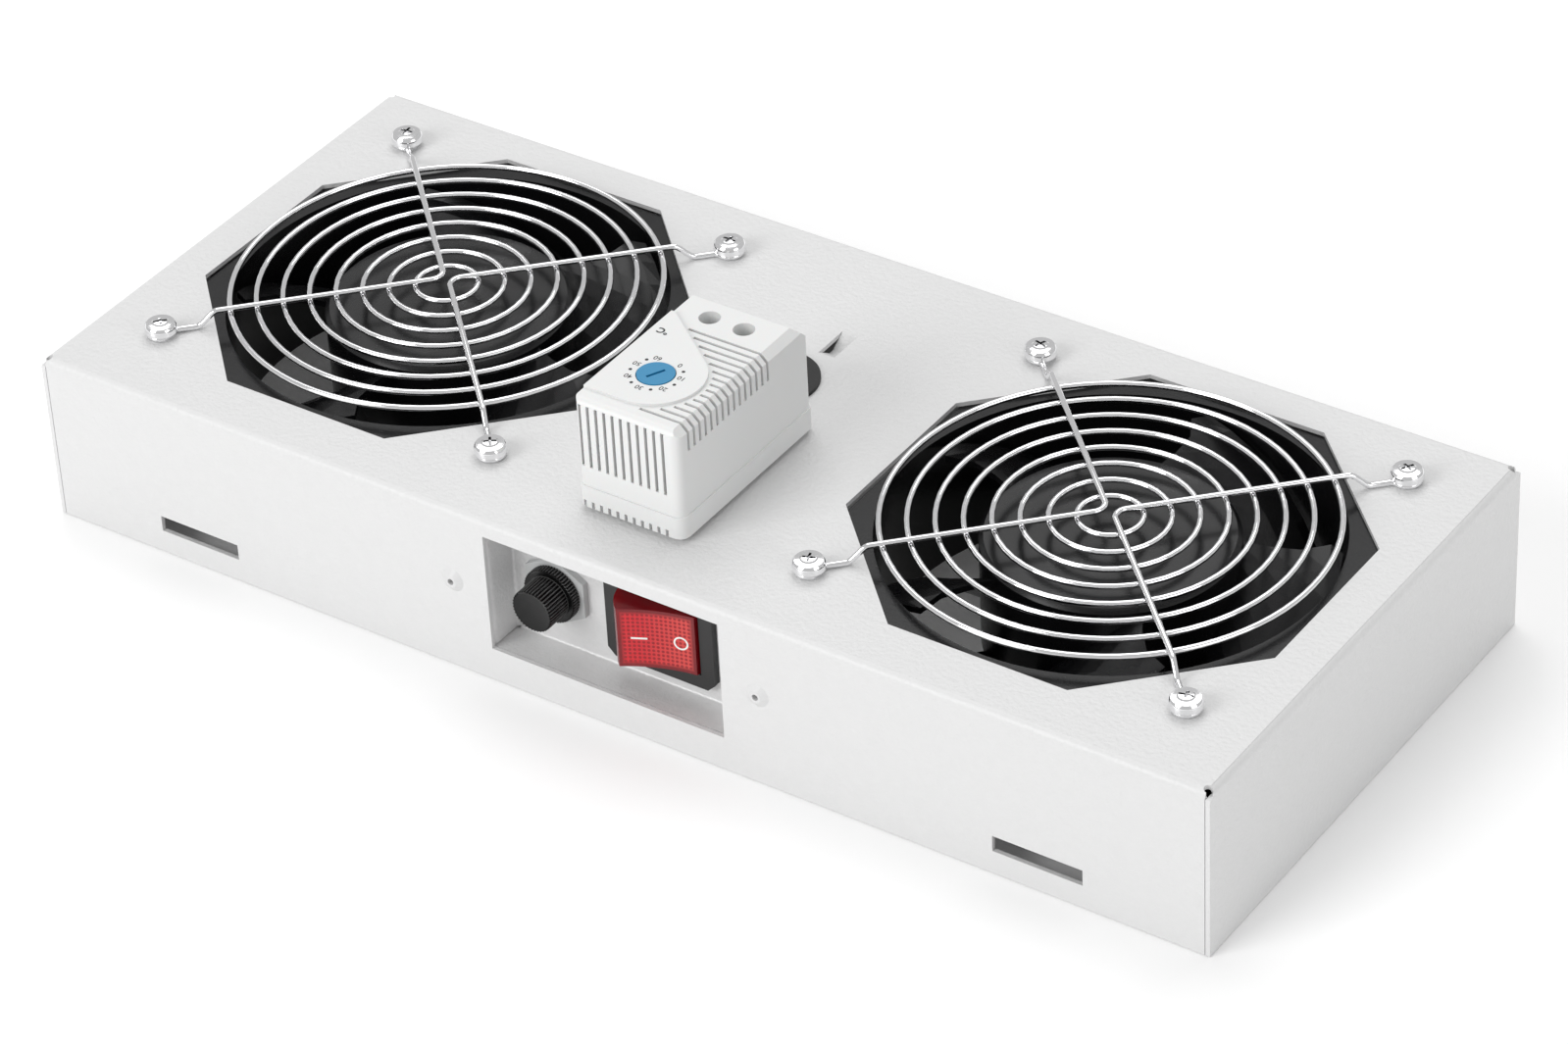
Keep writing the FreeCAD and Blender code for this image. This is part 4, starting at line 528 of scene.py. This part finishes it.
class FANTRAY_OT_finger_guards(bpy.types.Operator):
    """Wire finger guards: rings spun from the wire's section, and two V wires on each fan"""
    bl_idname = "fantray.finger_guards"
    bl_label = "Finger guards"

    def ring(self, radius, height, wire):
        clear_selection()
        bpy.ops.mesh.primitive_circle_add(vertices=WIRE_SIDES, radius=wire / 2,
                                          location=(radius, 0, height), rotation=(math.pi / 2, 0, 0))
        edit()
        steps = max(FEWEST_RING_SIDES, int(radius * RING_SIDES_PER_METRE))
        bpy.ops.mesh.spin(steps=steps, angle=2 * math.pi, center=(0, 0, height), axis=UP)
        tidy_mesh()
        return bpy.context.object

    def spoke_points(self, sizes, top):
        """Middle line of half the V wire on the -X side, from the apex to the end of its eye."""
        wire = sizes.wire
        high, low = top + sizes.ring_lift + 1.5 * wire, top + wire / 2
        reach = sizes.screw_square / math.sqrt(2)
        along, aside = Vector((-1, 1, 0)).normalized(), Vector((1, 1, 0)).normalized()
        apex_centre = Vector((-APEX, 0, high))
        start = apex_centre + Vector((APEX_R, 0, 0))
        points = [start] + arc(apex_centre, start, degrees=45.0, steps=5)
        shift = points[-1].dot(aside)
        eye = EYE_R + wire / 2
        neck = reach - math.sqrt((eye + NECK_R) ** 2 - (NECK_R - shift) ** 2)

        def at(r, z):
            return along * r + aside * shift + Vector((0, 0, z))

        drop = high - low
        for share in DROP_SHARES:
            ease = share * share * (3 - 2 * share)
            points.append(at(DROP_START + DROP_LENGTH * share, high - drop * ease))
        points.append(at(neck, low))
        neck_centre = points[-1] - aside * NECK_R
        eye_centre = along * reach + Vector((0, 0, low))
        first = points[-1] - neck_centre
        turn = math.degrees(first.angle(eye_centre - neck_centre))
        points += arc(neck_centre, points[-1], degrees=turn, steps=4)
        points += arc(eye_centre, points[-1], degrees=-250.0, steps=20)
        return points

    def v_wire(self, sizes, top):
        """V-shaped wire: half of its middle line and that half's mirror image, made a round bar."""
        half = self.spoke_points(sizes, top)
        line = [Vector((p.x, -p.y, p.z)) for p in reversed(half[1:])] + half
        clear_selection()
        bpy.ops.curve.primitive_bezier_curve_add(location=(0, 0, 0))
        curve = bpy.context.object.data
        curve.splines.clear()
        spline = curve.splines.new("POLY")
        spline.points.add(len(line) - 1)
        for point, place in zip(spline.points, line):
            point.co = (*place, 1)
        curve.dimensions = "3D"
        curve.bevel_depth = sizes.wire / 2
        curve.bevel_resolution = 3
        curve.use_fill_caps = True
        bpy.ops.object.convert(target="MESH")
        edit()
        tidy_mesh()
        return bpy.context.object

    def execute(self, context):
        sizes = context.scene.fantray_sizes
        top = plate_top()
        height = top + sizes.ring_lift + sizes.wire / 2
        radii = [sizes.ring_outer - k * sizes.ring_pitch for k in range(sizes.rings)]
        parts = [self.ring(radius, height, sizes.wire) for radius in radii]
        left = self.v_wire(sizes, top)
        right = copy_to(left, (0, 0, 0))
        edit()
        bpy.ops.transform.rotate(value=math.pi, orient_axis="Z", center_override=(0, 0, 0))
        bpy.ops.object.mode_set(mode="OBJECT")
        guard = join(parts + [left, right])
        both = join([copy_to(guard, place) for place in fan_centres(sizes)])
        bpy.data.objects.remove(guard)
        piece = settle(both, "guard_wires", "chrome", "chassis", smooth=60.0)
        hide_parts("finger_guards")
        return {"FINISHED"}


class FANTRAY_OT_guard_screws(bpy.types.Operator):
    """Pan-head screws with a cross recess, one in each corner of both guards"""
    bl_idname = "fantray.guard_screws"
    bl_label = "Guard screws"

    def recess(self, sizes, base):
        """Cross-shaped cutter that narrows towards its bottom."""
        arms = []
        for turn in (0, 90):
            clear_selection()
            bpy.ops.mesh.primitive_cube_add(size=1, location=(0, 0, base + sizes.head_height),
                                            rotation=(0, 0, math.radians(turn)))
            arm = bpy.context.object
            arm.scale = (sizes.recess, sizes.recess * RECESS_ARM, sizes.head_height * RECESS_DEPTH)
            bpy.ops.object.transform_apply(location=False, rotation=False, scale=True)
            pick_faces(-UP)
            bpy.ops.transform.resize(value=RECESS_FOOT, center_override=(0, 0, 0))
            bpy.ops.object.mode_set(mode="OBJECT")
            arms.append(arm)
        return join(arms)

    def screw(self, sizes, base):
        """Screw on the middle axis: its head domed step by step, the shank below and the recess cut out."""
        clear_selection()
        height = sizes.head_height
        straight = height * HEAD_STRAIGHT
        bpy.ops.mesh.primitive_cylinder_add(vertices=HEAD_SIDES, radius=sizes.head_radius, depth=straight,
                                            location=(0, 0, base + straight / 2))
        head = bpy.context.object
        last = 1.0
        for share, rise in HEAD_DOME:
            pick_faces(UP)
            bpy.ops.mesh.extrude_region_move(TRANSFORM_OT_translate={"value": (0, 0, height * rise)})
            bpy.ops.transform.resize(value=(share / last, share / last, 1), center_override=(0, 0, 0))
            last = share
        pick_faces(-UP)
        bpy.ops.mesh.inset(thickness=sizes.head_radius - SHANK_R, depth=0)
        bpy.ops.mesh.extrude_region_move(TRANSFORM_OT_translate={"value": (0, 0, -SHANK_LENGTH)})
        tidy_mesh()
        cutter = self.recess(sizes, base)
        select_only(head)
        carve = head.modifiers.new("recess", "BOOLEAN")
        carve.object = cutter
        carve.operation = "DIFFERENCE"
        carve.solver = "EXACT"
        carve.use_self = True
        bpy.ops.object.modifier_apply(modifier=carve.name)
        bpy.data.objects.remove(cutter)
        return head

    def execute(self, context):
        sizes = context.scene.fantray_sizes
        model = self.screw(sizes, plate_top() + sizes.wire)
        half = sizes.screw_square / 2
        copies = []
        for k, centre in enumerate(fan_centres(sizes)):
            for i in (-1, 1):
                for j in (-1, 1):
                    one = copy_to(model, centre + Vector((i * half, j * half, 0)))
                    one.rotation_euler.z = FIRST_TURN + FAN_TURN * k + SIDE_TURN * i + END_TURN * j
                    copies.append(one)
        bpy.data.objects.remove(model)
        piece = settle(join(copies), "guard_screw_set", "chrome", "chassis", smooth=30.0)
        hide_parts("guard_screws")
        return {"FINISHED"}


class FANTRAY_OT_fuse_cap(bpy.types.Operator):
    """Fuse cap: knurled grip with a rounded end, knurled skirt, and the plug with its socket"""
    bl_idname = "fantray.fuse_cap"
    bl_label = "Fuse cap"

    def drum(self, axis, start, depth, radius, sides):
        """Closed round bar from start into the tray, its sides parallel to Y."""
        clear_selection()
        bpy.ops.mesh.primitive_cylinder_add(vertices=sides, radius=radius, depth=depth,
                                            end_fill_type="NGON", rotation=(math.pi / 2, 0, 0),
                                            location=(axis.x, start + depth / 2, axis.z))
        bpy.ops.object.transform_apply(location=True, rotation=True, scale=True)
        return bpy.context.object

    def knurled(self, axis, start, depth, radius, ridges):
        """Bar with pointed ridges along its side and its outer rim rounded off."""
        sides = 2 * ridges
        bar = self.drum(axis, start, depth, radius, sides)
        step = 2 * math.pi / sides
        narrowed = 1 - RIDGE / radius
        pick_points(lambda place: round(math.atan2(place.z - axis.z, place.x - axis.x) / step) % 2 == 0)
        bpy.ops.transform.resize(value=(narrowed, 1, narrowed), center_override=(axis.x, start, axis.z))
        pick_faces(FORWARDS)
        for inset, proud in ROUNDED_RIM:
            drawn_in = 1 - inset / radius
            bpy.ops.mesh.extrude_region_move(TRANSFORM_OT_translate={"value": FORWARDS * proud})
            bpy.ops.transform.resize(value=(drawn_in, 1, drawn_in), center_override=(axis.x, start, axis.z))
        tidy_mesh()
        return bar

    def execute(self, context):
        low, high = (Vector(v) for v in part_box("fuse_cap"))
        axis = cap_axis()
        front = low.y
        seat = front + SKIRT_START + SKIRT_LENGTH
        grip = self.knurled(axis, front + GRIP_START, GRIP_LENGTH, GRIP_R, GRIP_RIDGES)
        pick_faces(FORWARDS)
        bpy.ops.mesh.inset(thickness=GRIP_RIM, depth=-GRIP_DISH)
        bpy.ops.object.mode_set(mode="OBJECT")
        skirt = self.knurled(axis, front + SKIRT_START, SKIRT_LENGTH, SKIRT_R, SKIRT_RIDGES)
        plug = self.drum(axis, seat, high.y - seat, PLUG_R, PLUG_SIDES)
        pick_faces(-FORWARDS)
        bpy.ops.mesh.inset(thickness=PLUG_WALL, depth=0)
        bpy.ops.mesh.extrude_region_move(TRANSFORM_OT_translate={"value": FORWARDS * SOCKET_DEPTH})
        tidy_mesh()
        piece = settle(join([grip, skirt, plug]), "fuse_cap_knurled", "cap_plastic", "cap", smooth=25.0)
        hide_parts("fuse_cap")
        return {"FINISHED"}


class FANTRAY_OT_rocker_marks(bpy.types.Operator):
    """On and off marks of the rocker: a bar on the raised half and a ring on the other"""
    bl_idname = "fantray.rocker_marks"
    bl_label = "Rocker marks"

    def execute(self, context):
        pivot, tilt = rocker_frame()
        radius = (FACE_HALF ** 2 + FACE_DISH ** 2) / (2 * FACE_DISH)

        def placed(u):
            """Matrix that lays a flat mark on the dished face at u along the rocker."""
            v = FACE_RISE - FACE_DISH + radius - math.sqrt(radius ** 2 - u ** 2)
            lean = math.asin(u / radius)
            flat = Matrix.Rotation(math.pi / 2, 4, "X")
            outwards = -v - MARK_DEPTH / 2
            on_face = Matrix.Translation((u, outwards, 0)) @ Matrix.Rotation(-lean, 4, "Z") @ flat
            return Matrix.Translation(pivot) @ Matrix.Rotation(tilt, 4, "Z") @ on_face

        clear_selection()
        bpy.ops.mesh.primitive_plane_add(size=1)
        bar = bpy.context.object
        bar.scale = BAR_SIZE
        bpy.ops.object.transform_apply(scale=True)
        edit()
        bpy.ops.mesh.extrude_region_move(TRANSFORM_OT_translate={"value": UP * MARK_DEPTH})
        tidy_mesh()
        bar.matrix_world = placed(BAR_PLACE)
        clear_selection()
        bpy.ops.mesh.primitive_circle_add(vertices=ROUND_SIDES, radius=RING_R, fill_type="NGON")
        ring = bpy.context.object
        edit()
        bpy.ops.mesh.select_mode(type="FACE")
        bpy.ops.mesh.inset(thickness=RING_WIDTH, depth=0)
        bpy.ops.mesh.delete(type="FACE")
        bpy.ops.mesh.select_all(action="SELECT")
        bpy.ops.mesh.extrude_region_move(TRANSFORM_OT_translate={"value": UP * MARK_DEPTH})
        tidy_mesh()
        ring.matrix_world = placed(RING_PLACE)
        piece = settle(join([bar, ring]), "rocker_marks", "printed_white", "rocker", smooth=30.0)
        return {"FINISHED"}


class FANTRAY_OT_dial_scale(bpy.types.Operator):
    """Printed scale round the thermostat's dial: plain numbers with dots between them"""
    bl_idname = "fantray.dial_scale"
    bl_label = "Dial scale"

    def glyph(self, words, place, size, weight=PRINT_WEIGHT):
        """Flat printed words that read from behind the tray."""
        clear_selection()
        bpy.ops.object.text_add(location=place, rotation=(0, 0, math.pi))
        text = bpy.context.object
        text.data.body = words
        text.data.size = size
        text.data.align_x = "CENTER"
        text.data.align_y = "CENTER"
        text.data.extrude = PRINT / 2
        text.data.offset = weight * size
        text.data.resolution_u = 3
        bpy.ops.object.convert(target="MESH")
        return bpy.context.object

    def execute(self, context):
        sizes = context.scene.fantray_sizes
        low, high = (Vector(v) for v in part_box("thermostat_dial"))
        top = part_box("thermostat_cover")[1][2] + PRINT
        axis = Vector(((low.x + high.x) / 2, (low.y + high.y) / 2, top))
        marks = []

        def at(degrees, radius):
            angle = math.radians(degrees)
            return axis + Vector((math.cos(angle), math.sin(angle), 0)) * radius

        for k, angle in enumerate(SCALE_ANGLES):
            marks.append(self.glyph(str(SCALE_STEP * k), at(angle, sizes.dial_radius), sizes.numeral))
        for first, second in zip(SCALE_ANGLES, SCALE_ANGLES[1:]):
            clear_selection()
            bpy.ops.mesh.primitive_circle_add(vertices=DOT_SIDES, radius=DOT_R, fill_type="NGON",
                                              location=at((first + second) / 2, sizes.dial_radius))
            edit()
            bpy.ops.mesh.extrude_region_move(TRANSFORM_OT_translate={"value": UP * PRINT})
            tidy_mesh()
            marks.append(bpy.context.object)
        marks.append(self.glyph("°C", axis + UNIT_PLACE, sizes.numeral * UNIT_SIZE, UNIT_WEIGHT))
        piece = settle(join(marks), "dial_scale", "printed_black", "chassis", smooth=30.0)
        return {"FINISHED"}


class FANTRAY_OT_stage(bpy.types.Operator):
    """Pale floor, soft lights and the camera"""
    bl_idname = "fantray.stage"
    bl_label = "Stage"

    def light(self, name, place, target, size, power):
        clear_selection()
        bpy.ops.object.light_add(type="AREA", location=place)
        lamp = bpy.context.object
        lamp.name = name
        lamp.data.size = size
        lamp.data.energy = power
        lamp.rotation_euler = (Vector(target) - Vector(place)).to_track_quat("-Z", "Y").to_euler()

    def execute(self, context):
        scene = context.scene
        looks = scene.fantray_looks
        clear_selection()
        bpy.ops.mesh.primitive_plane_add(size=FLOOR_SIZE, location=(0, 0, -FLOOR_DROP))
        floor = bpy.context.object
        floor.name = "floor"
        bpy.ops.object.transform_apply(location=True)
        floor.data.materials.append(FINISHES["plain_floor"])
        self.light("key", place=(-0.9, -2.1, 1.3), target=(0, 0, 0.02), size=1.4, power=34)
        self.light("over", place=(-0.5, 1.0, 2.1), target=(0, 0, 0.04), size=2.0, power=24)
        self.light("side", place=(2.1, -0.3, 0.9), target=(0, 0, 0.04), size=1.2, power=7)
        world = bpy.data.worlds.get("World") or bpy.data.worlds.new("World")
        scene.world = world
        world.use_nodes = True
        background = world.node_tree.nodes["Background"]
        background.inputs["Color"].default_value = (1, 1, 1, 1)
        background.inputs["Strength"].default_value = WORLD_STRENGTH
        bpy.ops.object.camera_add(location=CAMERA_PLACE, rotation=CAMERA_TURN)
        camera = bpy.context.object
        camera.name = "camera"
        camera.data.lens = looks.lens
        camera.data.sensor_width = SENSOR_WIDTH
        camera.data.clip_end = VIEW_END
        scene.camera = camera
        scene.view_settings.view_transform = "Standard"
        return {"FINISHED"}


class FANTRAY_PT_panel(bpy.types.Panel):
    """Sidebar panel with the tray's sizes, looks and pieces"""
    bl_idname = "FANTRAY_PT_panel"
    bl_label = "Rack fan tray"
    bl_space_type = "VIEW_3D"
    bl_region_type = "UI"
    bl_category = "Fan Tray"

    def draw(self, context):
        for group in (context.scene.fantray_sizes, context.scene.fantray_looks):
            for name in group.__annotations__:
                self.layout.prop(group, name)
        for operator in STEPS:
            self.layout.operator(operator.bl_idname)


STEPS = (FANTRAY_OT_finishes, FANTRAY_OT_finger_guards, FANTRAY_OT_guard_screws, FANTRAY_OT_fuse_cap,
         FANTRAY_OT_rocker_marks, FANTRAY_OT_dial_scale, FANTRAY_OT_stage)
CLASSES = (FANTRAY_PG_sizes, FANTRAY_PG_looks) + STEPS + (FANTRAY_PT_panel,)


def register():
    for item in CLASSES:
        bpy.utils.register_class(item)
    bpy.types.Scene.fantray_sizes = bpy.props.PointerProperty(type=FANTRAY_PG_sizes)
    bpy.types.Scene.fantray_looks = bpy.props.PointerProperty(type=FANTRAY_PG_looks)


def unregister():
    del bpy.types.Scene.fantray_looks
    del bpy.types.Scene.fantray_sizes
    for item in reversed(CLASSES):
        bpy.utils.unregister_class(item)


def main():
    register()
    for step in STEPS:
        group, call = step.bl_idname.split(".")
        getattr(getattr(bpy.ops, group), call)()


if __name__ == "__main__":
    main()
